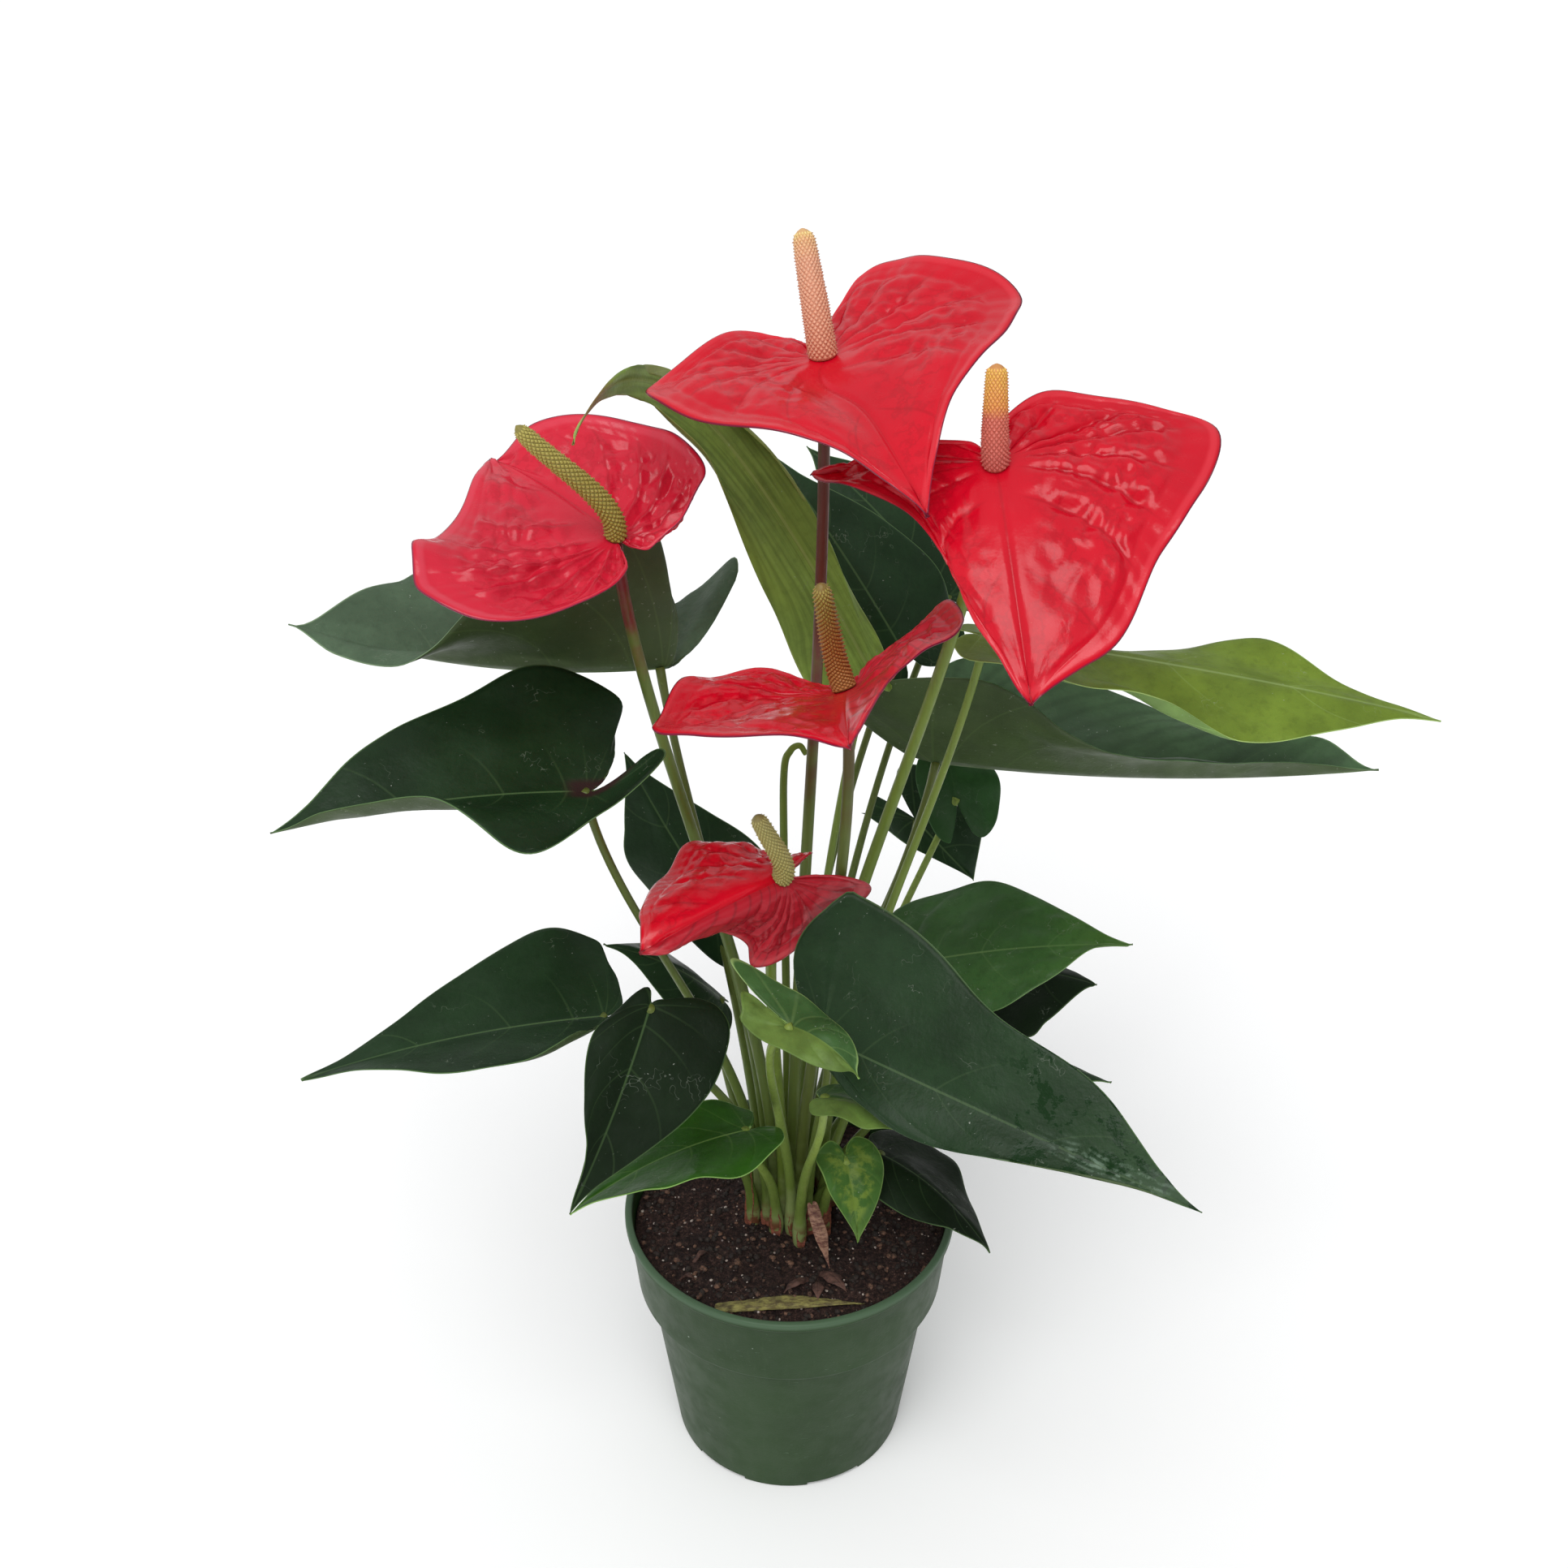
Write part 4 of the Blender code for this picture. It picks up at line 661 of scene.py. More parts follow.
# The values of each material, by its kind and then by its name
LOOKS = (
    (leaf_material, {
        "leaf_dark": (DARK, RIBS, 0.36, 0.16),
        "leaf_matte": ((0.003, 0.010, 0.002), (0.055, 0.10, 0.035), 0.60, 0.03),
        "leaf_scarred": (scaled(DARK, 0.85), RIBS, 0.36, 0.12),
        # These two looks, long_right's and upper_left's, have paler, greyer bases: partly dust, partly
        # painted sheen
        "leaf_dusty": ((0.045, 0.090, 0.039), (0.12, 0.20, 0.09), 0.38, 0.5),
        "leaf_grey": ((0.062, 0.100, 0.058), (0.15, 0.22, 0.12), 0.38, 0.4),
        "leaf_mid": (MID, (0.085, 0.155, 0.05), 0.34, 0.12, MID_TIP),
        "leaf_plain": (MID, (0.035, 0.09, 0.028), 0.34, 0.12),
        "leaf_quilted": ((0.032, 0.082, 0.022), (0.12, 0.21, 0.07), 0.30, 0.12, MID_TIP),
        "leaf_bright": ((0.022, 0.082, 0.007), (0.20, 0.34, 0.09), 0.30, 0.08),
        "leaf_lime": ((0.112, 0.170, 0.018), (0.30, 0.42, 0.14), 0.34, 0.05),
        "leaf_olive": ((0.140, 0.212, 0.037), (0.24, 0.30, 0.08), 0.40, 0.05),
        "leaf_wet": ((0.010, 0.027, 0.009), (0.07, 0.12, 0.05), 0.34, 0.14, (0.028, 0.066, 0.024), 0.9),
        "leaf_fresh": ((0.034, 0.085, 0.014), (0.13, 0.21, 0.05), 0.30, 0.05, (0.10, 0.18, 0.03)),
        "leaf_young": ((0.034, 0.082, 0.022), (0.20, 0.30, 0.10), 0.34, 0.05)}),
    (under_material, {
        "leaf_under": ((0.040, 0.068, 0.019),),
        "leaf_under_pale": (PALE_UNDER,),
        "leaf_under_bright": ((0.14, 0.24, 0.06),),
        "leaf_under_olive": ((0.16, 0.20, 0.045),)}),
    (spathe_material, {
        "spathe_red": (RED, SHADE_RED, RIM, HIGHLIGHT_BAND),
        "spathe_wing": (RED, SHADE_RED, RIM, HIGHLIGHT_BAND, (0.56, 0.012, 0.030)),
        "spathe_funnel": ((0.62, 0.003, 0.016), (0.34, 0.001, 0.009), (0.30, 0.03, 0.04), (0.60, 0.09, 0.10),
                          (0.42, 0.010, 0.022)),
        "spathe_pink": ((0.62, 0.014, 0.038), (0.44, 0.006, 0.020), (0.20, 0.02, 0.06), (0.72, 0.08, 0.12)),
        "spathe_under": ((0.50, 0.035, 0.045), (0.34, 0.02, 0.03), (0.16, 0.01, 0.02), (0.60, 0.09, 0.10))}),
    (stem_material, {
        "petiole": ((0.16, 0.23, 0.045), (0.20, 0.28, 0.05), (0.3, 0.8)),
        "petiole_dark": ((0.11, 0.16, 0.03), (0.10, 0.13, 0.025), (0.3, 0.9)),
        "stalk_brown": ((0.12, 0.17, 0.03), (0.115, 0.034, 0.022), (0.5, 0.68)),
        "stalk_crimson": ((0.11, 0.16, 0.03), (0.16, 0.022, 0.022), (0.80, 0.95)),
        "stalk_olive": ((0.10, 0.13, 0.025), (0.095, 0.070, 0.020), (0.72, 0.95)),
        "stalk_green": ((0.13, 0.19, 0.025), (0.16, 0.23, 0.03), (0.3, 0.8))}),
    (spadix_material, {
        "spadix_salmon": (((0.0, (0.70, 0.28, 0.17)), (0.75, (0.76, 0.40, 0.25)), (0.90, (0.80, 0.50, 0.24)),
                           (0.97, (0.86, 0.70, 0.25))), (0.56, 0.22, 0.13)),
        "spadix_orange": (((0.0, (0.56, 0.105, 0.085)), (0.5, (0.62, 0.14, 0.095)),
                           (0.62, (0.74, 0.32, 0.06)), (0.95, (0.84, 0.52, 0.09))), (0.44, 0.10, 0.06)),
        "spadix_olive": (((0.0, (0.36, 0.28, 0.04)), (0.5, (0.34, 0.27, 0.045)), (1.0, (0.46, 0.40, 0.09))),
                         (0.11, 0.085, 0.012)),
        "spadix_rust": (((0.0, (0.40, 0.17, 0.04)), (0.5, (0.40, 0.20, 0.04)), (0.8, (0.32, 0.24, 0.04)),
                         (1.0, (0.34, 0.29, 0.06))), (0.15, 0.07, 0.015)),
        "spadix_yellow": (((0.0, (0.34, 0.28, 0.07)), (1.0, (0.40, 0.36, 0.12))), (0.15, 0.12, 0.03))}),
    (pot_material, {"pot": ((0.024, 0.054, 0.017), (0.038, 0.072, 0.029))}),
    (soil_material, {"soil": (((0.36, (0.006, 0.003, 0.003)), (0.48, (0.028, 0.014, 0.012)),
                               (0.58, (0.08, 0.042, 0.034)), (0.70, (0.22, 0.13, 0.10))),)}),
    (grain_material, {
        "perlite": ((0.58, 0.50, 0.45), (0.25, 0.18, 0.15)),
        "bark": ((0.19, 0.095, 0.06), (0.035, 0.018, 0.013)),
        "peat": ((0.035, 0.021, 0.016), (0.010, 0.006, 0.005))}),
    (dry_material, {
        "straw": ((0.27, 0.24, 0.07), (0.09, 0.065, 0.025)),
        "sheath": ((0.30, 0.10, 0.05), (0.15, 0.035, 0.02)),
        "scrap": ((0.12, 0.055, 0.04), (0.05, 0.02, 0.015)),
        "dry": ((0.36, 0.20, 0.13), (0.12, 0.04, 0.03))}),
)
EXTRAS = {"leaf_scarred": {"scar": True}, "leaf_dusty": {"banded": 0.35}, "leaf_lime": {"rib_width": 0.9},
          "leaf_olive": {"dry_from": 0.78, "rib_width": 0.8, "streaked": 0.45},
          "leaf_fresh": {"blotch": (0.13, 0.20, 0.03)}, "leaf_young": {"near": PALE_UNDER}}
looks = {name: maker(name + "_look", *values, **EXTRAS.get(name, {}))
         for maker, table in LOOKS for name, values in table.items()}

# Leaves with a look or a slot of their own, and looks with an underside of their own
LEAF_LOOKS = {"front_large": "wet", "middle_left": "scarred", "long_right": "dusty", "upper_left": "grey",
              "green_right": "quilted", "front_hanging": "matte", "rim_right": "matte",
              "back_right_low": "matte", "behind_green": "plain"}
LEAF_SLOTS = {"young_folded": "mid", "young_heart": "mid", "young_curled": "bright"}
UNDERS = {"bright": "_bright", "lime": "_bright", "fresh": "_bright", "olive": "_olive", "young": "_pale"}


# Shapes

def link(name, data):
    """A new object in the scene."""
    result = bpy.data.objects.new(name, data)
    bpy.context.scene.collection.objects.link(result)
    return result


class Shape:
    """Points, faces, material indexes and shader values gathered for one piece."""

    def __init__(self):
        self.points = []
        self.faces = []
        self.slots = []
        self.values = {}
        self.count = 0

    def add(self, points, faces, slot=0, **values):
        """Append points and faces; values hold a number for each point."""
        points = np.asarray(points, dtype=float).reshape(-1, 3)
        self.points.append(points)
        self.faces += [[i + self.count for i in face] for face in faces]
        self.slots += [slot] * len(faces)
        for key, numbers in values.items():
            numbers = np.broadcast_to(np.asarray(numbers, dtype=float), (len(points),))
            self.values.setdefault(key, []).append((self.count, numbers))
        self.count += len(points)

    def build(self, name, materials, slot, *nodes):
        """Make the object, ride it on the frame and let it stand for the nodes."""
        mesh = bpy.data.meshes.new(name)
        mesh.from_pydata((np.concatenate(self.points) * MM).tolist(), [], self.faces)
        mesh.polygons.foreach_set("material_index", self.slots)
        mesh.polygons.foreach_set("use_smooth", [True] * len(self.faces))
        for key, parts in self.values.items():
            full = np.zeros(self.count, dtype=np.float32)
            for start, numbers in parts:
                full[start:start + len(numbers)] = numbers
            mesh.attributes.new(key, "FLOAT", "POINT").data.foreach_set("value", full)
        for item in materials:
            mesh.materials.append(looks[item])
        mesh.validate()
        result = link(name, mesh)
        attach(result, "root")
        if nodes:
            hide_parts(*nodes)
        return result


def vec(*numbers):
    """An array of floats."""
    return np.array(numbers, dtype=float)


def unit(v):
    """Vectors (rows) at length 1."""
    return v / np.maximum(np.linalg.norm(v, axis=-1, keepdims=True), 1e-12)


def smooth(x, low, high):
    """0 below low, 1 above high, and smooth between."""
    t = np.clip((x - low) / (high - low), 0.0, 1.0)
    return t * t * (3 - 2 * t)


def wander(places, size, offset):
    """Smooth noise of about -0.5 to 0.5 at each flat place."""
    flat = places.reshape(-1, 2)
    found = [noise.noise(Vector((x / size, y / size, offset))) for x, y in flat]
    return np.array(found).reshape(places.shape[:-1])


def catmull_rom(knots, steps):
    """A smooth line through the knots."""
    ends = [2 * knots[0] - knots[1]] + list(knots) + [2 * knots[-1] - knots[-2]]
    line = []
    for i in range(1, len(ends) - 2):
        a, b, c, d = ends[i - 1:i + 3]
        for step in range(steps):
            t = step / steps
            line.append(0.5 * (2 * b + (c - a) * t + (2 * a - 5 * b + 4 * c - d) * t ** 2
                               + (3 * b - a - 3 * c + d) * t ** 3))
    line.append(knots[-1])
    return np.array([tuple(point) for point in line])


def resample(line, count):
    """The line cut into count equal lengths."""
    steps = np.linalg.norm(np.diff(line, axis=0), axis=1)
    lengths = np.concatenate([[0.0], np.cumsum(steps)])
    targets = np.linspace(0.0, lengths[-1], count + 1)
    return np.stack([np.interp(targets, lengths, line[:, k]) for k in range(line.shape[1])], axis=1)


def half_outline(length, wide_at, width, lobe, stations, taper, full):
    """Points (along, out) from the sinus round the lobe and the widest place to the tip."""
    front = length - wide_at
    knots = [Vector(pair) for pair in (
        (0.0, 0.0),
        (-0.62 * lobe, 0.10 * width),
        (-lobe, 0.42 * width),
        (-0.62 * lobe + 0.12 * wide_at, 0.82 * width),
        (wide_at, width),
        (wide_at + 0.40 * taper * front, (0.69 + 0.15 * full) * width),
        (wide_at + 0.78 * taper * front, (0.20 + 0.24 * full) * width),
        (wide_at + (0.5 + 0.39 * taper) * front, (0.08 + 0.13 * full) * width),
        (length, 0.0))]
    return resample(catmull_rom(knots, OUTLINE_STEPS), stations)


def open_fan(outline, count):
    """Turn the first points apart about the joint, so that no two rays to them cross."""
    limit = FAN_START
    result = outline.copy()
    for i in range(1, len(outline) - 1):
        x, y = outline[i]
        if i <= count:
            angle = min(math.atan2(y, x), limit)
            x, y = math.hypot(x, y) * math.cos(angle), math.hypot(x, y) * math.sin(angle)
            limit = angle - FAN_TURN / max(count, 1) / 2
        result[i] = x, max(y, SLIMMEST)
    return result


class BladeFrame:
    """Where a point of the flat outline lies in space."""

    def __init__(self, blade):
        self.blade = blade
        self.joint = vec(*blade.joint)
        chord = vec(*blade.tip) - self.joint
        self.length = float(np.linalg.norm(chord))
        self.ahead = unit(chord)
        self.up = unit(np.cross(self.ahead, vec(*blade.right) - vec(*blade.left)))
        self.side = np.cross(self.up, self.ahead)
        self.bend = self.up * blade.bow
        if blade.crest:
            self.bend = vec(*blade.crest) - (self.joint + chord * 0.5)
        self.halves = [self.half(vec(*blade.left), -1), self.half(vec(*blade.right), 1)]

    def half(self, widest, sign):
        """Where the half is widest, how wide, and its fold above the midrib's plane."""
        offset = widest - self.joint
        along = offset @ self.ahead
        share = min(max(along / self.length, 0.0), 1.0)
        offset = offset - self.bend * 4 * share * (1 - share)
        out = sign * (offset @ self.side)
        rise = offset @ self.up
        return along, math.hypot(out, rise), math.atan2(rise, out)

    def midrib(self, along):
        """Places, directions and upper normals of the midrib."""
        along = np.asarray(along, dtype=float)[..., None]
        t = np.maximum(along / self.length, 0.0)
        slope = self.ahead + self.bend * (4 * (1 - 2 * t) / self.length)
        place = self.joint + self.ahead * along + self.bend * (4 * t * (1 - t))
        place = np.where(along < 0, self.joint + slope * along, place)
        slope = unit(slope)
        return place, slope, unit(np.cross(slope, self.side))

    def spread(self, index, along, out, hub):
        """Places of outline points of the left (0) or right (1) half."""
        sign = (-1, 1)[index]
        blade = self.blade
        width, fold = self.halves[index][1:]
        place, _, up = self.midrib(along)
        flat = hub * np.tanh(out / hub)
        outward = self.side * (sign * math.cos(fold)) + up * math.sin(fold)
        lifted = up * math.cos(fold) - self.side * (sign * math.sin(fold))
        ripple = np.sin(blade.waves * math.tau * along / self.length + blade.phase + 2.0 * index)
        height = (blade.cup[index] + blade.wave * ripple) * (np.maximum(out - flat, 0.0) / width) ** 2
        return place + self.side * (sign * flat)[..., None] + outward * (out - flat)[..., None] \
            + lifted * height[..., None]


def edge_shift(knots, share):
    """How far the margin is moved at those shares of the outline."""
    knots = np.array([(*knot, 0.0)[:4] for knot in ((0.0, 0.0, 0.0), *knots, (1.0, 0.0, 0.0))])
    slopes = np.gradient(knots[:, 1:], knots[:, 0], axis=0)
    slopes[0] = slopes[-1] = 0.0
    i = np.clip(np.searchsorted(knots[:, 0], share, side="right") - 1, 0, len(knots) - 2)
    step = (knots[i + 1, 0] - knots[i, 0])[:, None]
    t = (share - knots[i, 0])[:, None] / step
    moved = knots[i, 1:] * (1 + 2 * t) * (1 - t) ** 2 + knots[i + 1, 1:] * t * t * (3 - 2 * t) \
        + step * t * (1 - t) * (slopes[i] * (1 - t) - slopes[i + 1] * t)
    return moved @ np.array([(1.0, 0.0, 0.0), LIFT, FORWARD])


@dataclass
class Weave:
    """How a blade's fine surface is laid out: veins, columns, hub, relief and the veins' course."""
    veins: int
    columns: int
    hub: float
    relief: object
    spacing: float = 1.0
    curve: float = 0.0
    sway: float = 0.0


def blade_surface(blade, weave, edges=EVEN):
    """The blade's middle surface as (points, faces, values), split along its veins."""
    frame_of = BladeFrame(blade)
    length = frame_of.length
    stations = weave.veins * ROWS_PER_VEIN
    outlines = [half_outline(length, wide_at, width, lobe, stations, blade.taper, blade.full)
                for (wide_at, width, _), lobe in zip(frame_of.halves, blade.lobes)]
    lobe_end = max(2, *(int((line[1:, 0] < LOBE_SHARE * length).sum()) for line in outlines))
    row = np.arange(1, stations + 1)
    roots = np.clip((row - lobe_end) / (stations - lobe_end), 0.0, None) ** weave.spacing * length
    root = np.stack([roots, np.zeros(stations)], axis=1)[:, None, :]
    share = np.linspace(0.0, 1.0, weave.columns + 1)[None, :] ** COLUMN_SPACING
    # Rays curve like veins, towards the tip at the margin
    curve = -weave.curve * smooth(row, lobe_end * 0.3, lobe_end * 1.6)
    curve = curve * (1 - smooth(row, stations * 0.8, stations))
    parts = []
    for index in (0, 1):
        reach = open_fan(outlines[index], lobe_end)[1:, None, :] - root
        far = np.linalg.norm(reach, axis=2)
        turn = np.stack([reach[..., 1], -reach[..., 0]], axis=2)
        flat = root + reach * share[..., None] + turn * (curve[:, None] * share * (1 - share))[..., None]
        flat[..., 1] = np.maximum(flat[..., 1], 0.0)
        ahead, out = flat[..., 0], flat[..., 1]
        places = frame_of.spread(index, ahead, out, weave.hub)
        moved = edge_shift(edges[index], row / stations)[:, None, :]
        places = places + moved * (share ** EDGE_REACH)[..., None]
        phase = row[:, None] / ROWS_PER_VEIN + np.zeros_like(share)
        step = np.linalg.norm(np.gradient(flat, axis=0), axis=2) * ROWS_PER_VEIN
        normal = unit(np.cross(np.gradient(places, axis=0), np.gradient(places, axis=1))) * (-1, 1)[index]
        normal[:, 0] = frame_of.midrib(roots)[2]
        height = weave.relief(index=index, flat=flat, phase=phase, share=share, step=step, far=far,
                              length=length)
        places = places + normal * height[..., None]
        t = ahead / length
        swing = weave.sway * np.exp(-((t - SWAY_AT) / SWAY_LENGTH) ** 2 - (out / SWAY_WIDTH) ** 2)
        places = places + frame_of.side * (swing * smooth(t, 0.0, 0.1))[..., None]
        values = {"vein": np.abs(phase - np.round(phase)) * step, "rib": out, "edge": (1 - share) * far,
                  "along": t, "share": share, "half": index, "phase": phase}
        ids = index * phase.size + np.arange(phase.size).reshape(phase.shape)
        quads = np.stack([ids[:-1, :-1], ids[1:, :-1], ids[1:, 1:], ids[:-1, 1:]], axis=-1).reshape(-1, 4)
        parts.append((places.reshape(-1, 3), quads if index else quads[:, ::-1],
                      {key: np.broadcast_to(v, phase.shape).reshape(-1) for key, v in values.items()}))
    points, faces, values = zip(*parts)
    values = {key: np.concatenate([part[key] for part in values]) for key in values[0]}
    return weld(np.concatenate(points), np.concatenate(faces), values)


def weld(points, faces, values):
    """Join points at the same place and drop faces that shrink to a line."""
    _, first, group = np.unique(np.round(points, 3), axis=0, return_index=True, return_inverse=True)
    result = []
    for face in group.reshape(-1)[faces].tolist():
        clean = [p for k, p in enumerate(face) if p != face[k - 1]]
        if len(set(clean)) == len(clean) >= 3:
            result.append(clean)
    return points[first], result, {key: v[first] for key, v in values.items()}


def thicken(shape, points, faces, values, thickness, slots=(0, 1)):
    """Add a closed shell round the surface: upper face, lower face and rim."""
    normals = np.zeros_like(points)
    for size in (3, 4):
        group = np.array([face for face in faces if len(face) == size])
        if len(group) == 0:
            continue
        a, b, c, d = (points[group[:, k]] for k in (0, 1, 2, -1))
        cross = np.cross(c - a, d - b) if size == 4 else np.cross(b - a, c - a)
        for k in range(size):
            np.add.at(normals, group[:, k], cross)
    depth = thickness * (THIN_EDGE + (1 - THIN_EDGE) * smooth(values["edge"], 0.0, THIN_REACH))
    half = unit(normals) * depth[:, None] / 2
    count, base = len(points), shape.count
    edges = dict.fromkeys((a, b) for face in faces for a, b in zip(face, face[1:] + face[:1]))
    rim = [(a + base, b + base) for a, b in edges if (b, a) not in edges]
    shape.add(points + half, faces, slots[0], **values)
    shape.add(points - half, [face[::-1] for face in faces], slots[1], **values)
    shape.faces += [[b, a, a + count, b + count] for a, b in rim]
    shape.slots += [slots[0]] * len(rim)


def leaf_relief(depth, index, flat, phase, share, step, length, **_):
    """Height of a leaf's upper face: sunken veins, slight quilting and dents."""
    ripple = np.abs(np.sin(math.pi * phase))
    bed = smooth(share, 0.04, 0.3) * (1 - smooth(share, 0.75, 0.95))
    quilt = LEAF_QUILT * depth * np.minimum(step, 9.0) * (ripple ** 0.7 - 0.6) * bed
    quilt = quilt + 0.5 * (depth - 1) * wander(flat, 6.0, 31.0 + index) * bed
    rib = -LEAF_RIB_DEPTH * np.exp(-(flat[..., 1] / 0.9) ** 2) * (1 - 0.7 * flat[..., 0] / length)
    dents = LEAF_DENTS * wander(flat, 16.0, length + 3 * index) * smooth(share, 0.05, 0.4)
    return quilt + rib + dents


def spathe_relief(depths, index, flat, phase, share, step, far, **_):
    """Height of a spathe's upper face: vein channels, blistered cells and a smooth rolled margin."""
    cells = share * far / SPATHE_CELL + 0.37 * np.floor(phase) + 2.2 * wander(flat, 13.0, 5.0 + index)
    depth = 0.55 + 1.3 * wander(flat, 9.0, 21.0 + index)
    cross = 1 - np.clip(depth, 0.0, 1.0) * (1 - np.abs(np.sin(math.pi * cells)) ** 0.7)
    bed = smooth(share, 0.06, 0.28) * (1 - smooth(share, 0.74, 0.86))
    bed = bed * (1 - depths[2] * smooth(phase / SPATHE_VEINS, 0.74, 0.9)) * depths[index]
    channel = np.minimum(np.abs(np.sin(math.pi * phase)) / 0.85, 1.0) ** 0.7
    minor = np.abs(np.sin(2 * math.pi * phase)) ** 0.7 * smooth(step, 6.0, 11.0)
    quilt = channel * (0.78 + 0.12 * cross + 0.10 * minor) - 0.3
    quilt = SPATHE_QUILT * np.minimum(step, 8.0) * quilt * bed
    ridges = SPATHE_RIDGES * (0.3 - np.abs(wander(flat, 6.5, 9.0 + index)) * 2.4) * bed
    lines = SPATHE_LINES * np.sin(6 * math.pi * phase) * smooth(share, 0.7, 0.82)
    lines = lines * (1 - smooth(share, 0.93, 1.0))
    gutter = -SPATHE_GUTTER * np.exp(-((share - 0.84) / 0.025) ** 2) * smooth(far, 8.0, 20.0)
    roll = SPATHE_ROLL * np.exp(-(((1 - share) * far - 1.2) / 1.3) ** 2) * smooth(far, 4.0, 12.0)
    rib = -SPATHE_RIB_DEPTH * np.exp(-(flat[..., 1] / 1.0) ** 2) * smooth(flat[..., 0], 4.0, 16.0)
    dents = SPATHE_DENTS * wander(flat, 22.0, 2.0 + index) * smooth(share, 0.1, 0.6)
    return quilt + ridges + lines + gutter + roll + rib + dents


def dry_relief(index, flat, **_):
    """Crumpled papery tissue."""
    return DRY_DENTS * wander(flat, 2.5, 1.0 + index)


DRY_WEAVE = Weave(DRY_VEINS, DRY_COLUMNS, DRY_HUB, dry_relief)


def bezier(a, b, c, d, steps):
    """Points along a cubic curve."""
    t = np.linspace(0.0, 1.0, steps + 1)[:, None]
    return a * (1 - t) ** 3 + b * 3 * t * (1 - t) ** 2 + c * 3 * t * t * (1 - t) + d * t ** 3


def rings(line, start=None, end=None):
    """Directions along a line and two steady directions across it."""
    steps = unit(np.diff(line, axis=0))
    along = np.concatenate([steps[:1], unit(steps[:-1] + steps[1:]), steps[-1:]])
    if start is not None:
        along[0] = start
    if end is not None:
        along[-1] = end
    across = np.array(Vector(along[0]).orthogonal().normalized())
    first = []
    for direction in along:
        across = unit(across - direction * (across @ direction))
        first.append(across)
    return along, np.array(first), np.cross(along, first)


def sleeve(count, sides):
    """Faces between that many rings of points, and a cap at each end."""
    faces = []
    for start in range(0, (count - 1) * sides, sides):
        for k in range(sides):
            a, b = start + k, start + (k + 1) % sides
            faces.append((a, b, b + sides, a + sides))
    last = (count - 1) * sides
    return faces + [tuple(reversed(range(sides))), tuple(range(last, last + sides))]


def tube(shape, line, radii, sides, slot=0, start=None, end=None, **values):
    """A closed tube along the line, with the share of its length as a shader value."""
    _, first, second = rings(line, start, end)
    angle = (math.tau * np.arange(sides) / sides)[None, :, None]
    ring = first[:, None, :] * np.cos(angle) + second[:, None, :] * np.sin(angle)
    points = line[:, None, :] + ring * np.asarray(radii)[:, None, None]
    share = np.repeat(np.linspace(0.0, 1.0, len(line)), sides)
    shape.add(points, sleeve(len(line), sides), slot, along=share, **values)


def lathe(shape, profile, segments, **values):
    """A closed solid turned from a profile of (radius, height)."""
    profile = np.array(profile)
    angle = math.tau * np.arange(segments) / segments
    points = np.stack([profile[:, :1] * np.cos(angle), profile[:, :1] * np.sin(angle),
                       profile[:, 1:] + np.zeros(segments)], axis=2)
    values = {key: np.repeat(np.asarray(v, dtype=float), segments) for key, v in values.items()}
    shape.add(points, sleeve(len(profile), segments), **values)


def cell_place(cell):
    """The centre of a crown cell."""
    column, row = cell
    return CROWN_X + CELL * (column + 0.5 * (row % 2)), CROWN_Y + ROW_STEP * row


def soil_height(x, y):
    """The soil's surface, without its roughness."""
    away = np.hypot(x - CROWN_X, y - CROWN_Y)
    return SOIL_EDGE_Z + SOIL_CROWN_RISE * np.exp(-(away / SOIL_CROWN_SPREAD) ** 2)


def soil_lumps(x, y):
    """How far the soil's lumps stand above its surface."""
    return sum(height * noise.noise(Vector((x, y, layer)) / size) for height, size, layer in SOIL_LUMPS)


def stem_foot(cell):
    """A stem's foot in the soil and its rise just above it."""
    x, y = cell_place(cell)
    ground = soil_height(x, y)
    return vec(x, y, ground - STEM_DEPTH), vec(x, y, ground + STEM_RISE)


def build_stem(shape, frame_of, cell, top, radii, swell, slot=0, hook=(), end=None):
    """A stem from its foot in the soil to its top, with a sheath at the foot and a swelling at the top.

    It arrives in line with its blade, or from aside where a hook is given.
    """
    foot, rise = stem_foot(cell)
    reach = np.linalg.norm(top - rise)
    straight = unit(frame_of.joint - vec(foot[0], foot[1], SOIL_EDGE_Z))
    heading = unit(straight + frame_of.midrib(0.0)[2] * TOP_LIFT)
    pull = np.array(hook) if hook else heading * (TOP_PULL * reach)
    line = bezier(rise, rise + vec(0, 0, 1) * (FOOT_PULL * reach), top - pull, top, STEM_STEPS)
    t = np.linspace(0.0, 1.0, STEM_STEPS + 1)
    thick = radii[0] + (radii[1] - radii[0]) * np.minimum(1.0, STEM_TAPER * t)
    thick = thick + swell * smooth(t, *SWELL_SPAN) + SHEATH * np.exp(-(t / SHEATH_REACH) ** 2)
    line, thick = np.concatenate([[foot], line]), np.concatenate([[radii[0]], thick])
    tube(shape, line, thick, STEM_SIDES, slot, None, end)


# Pieces

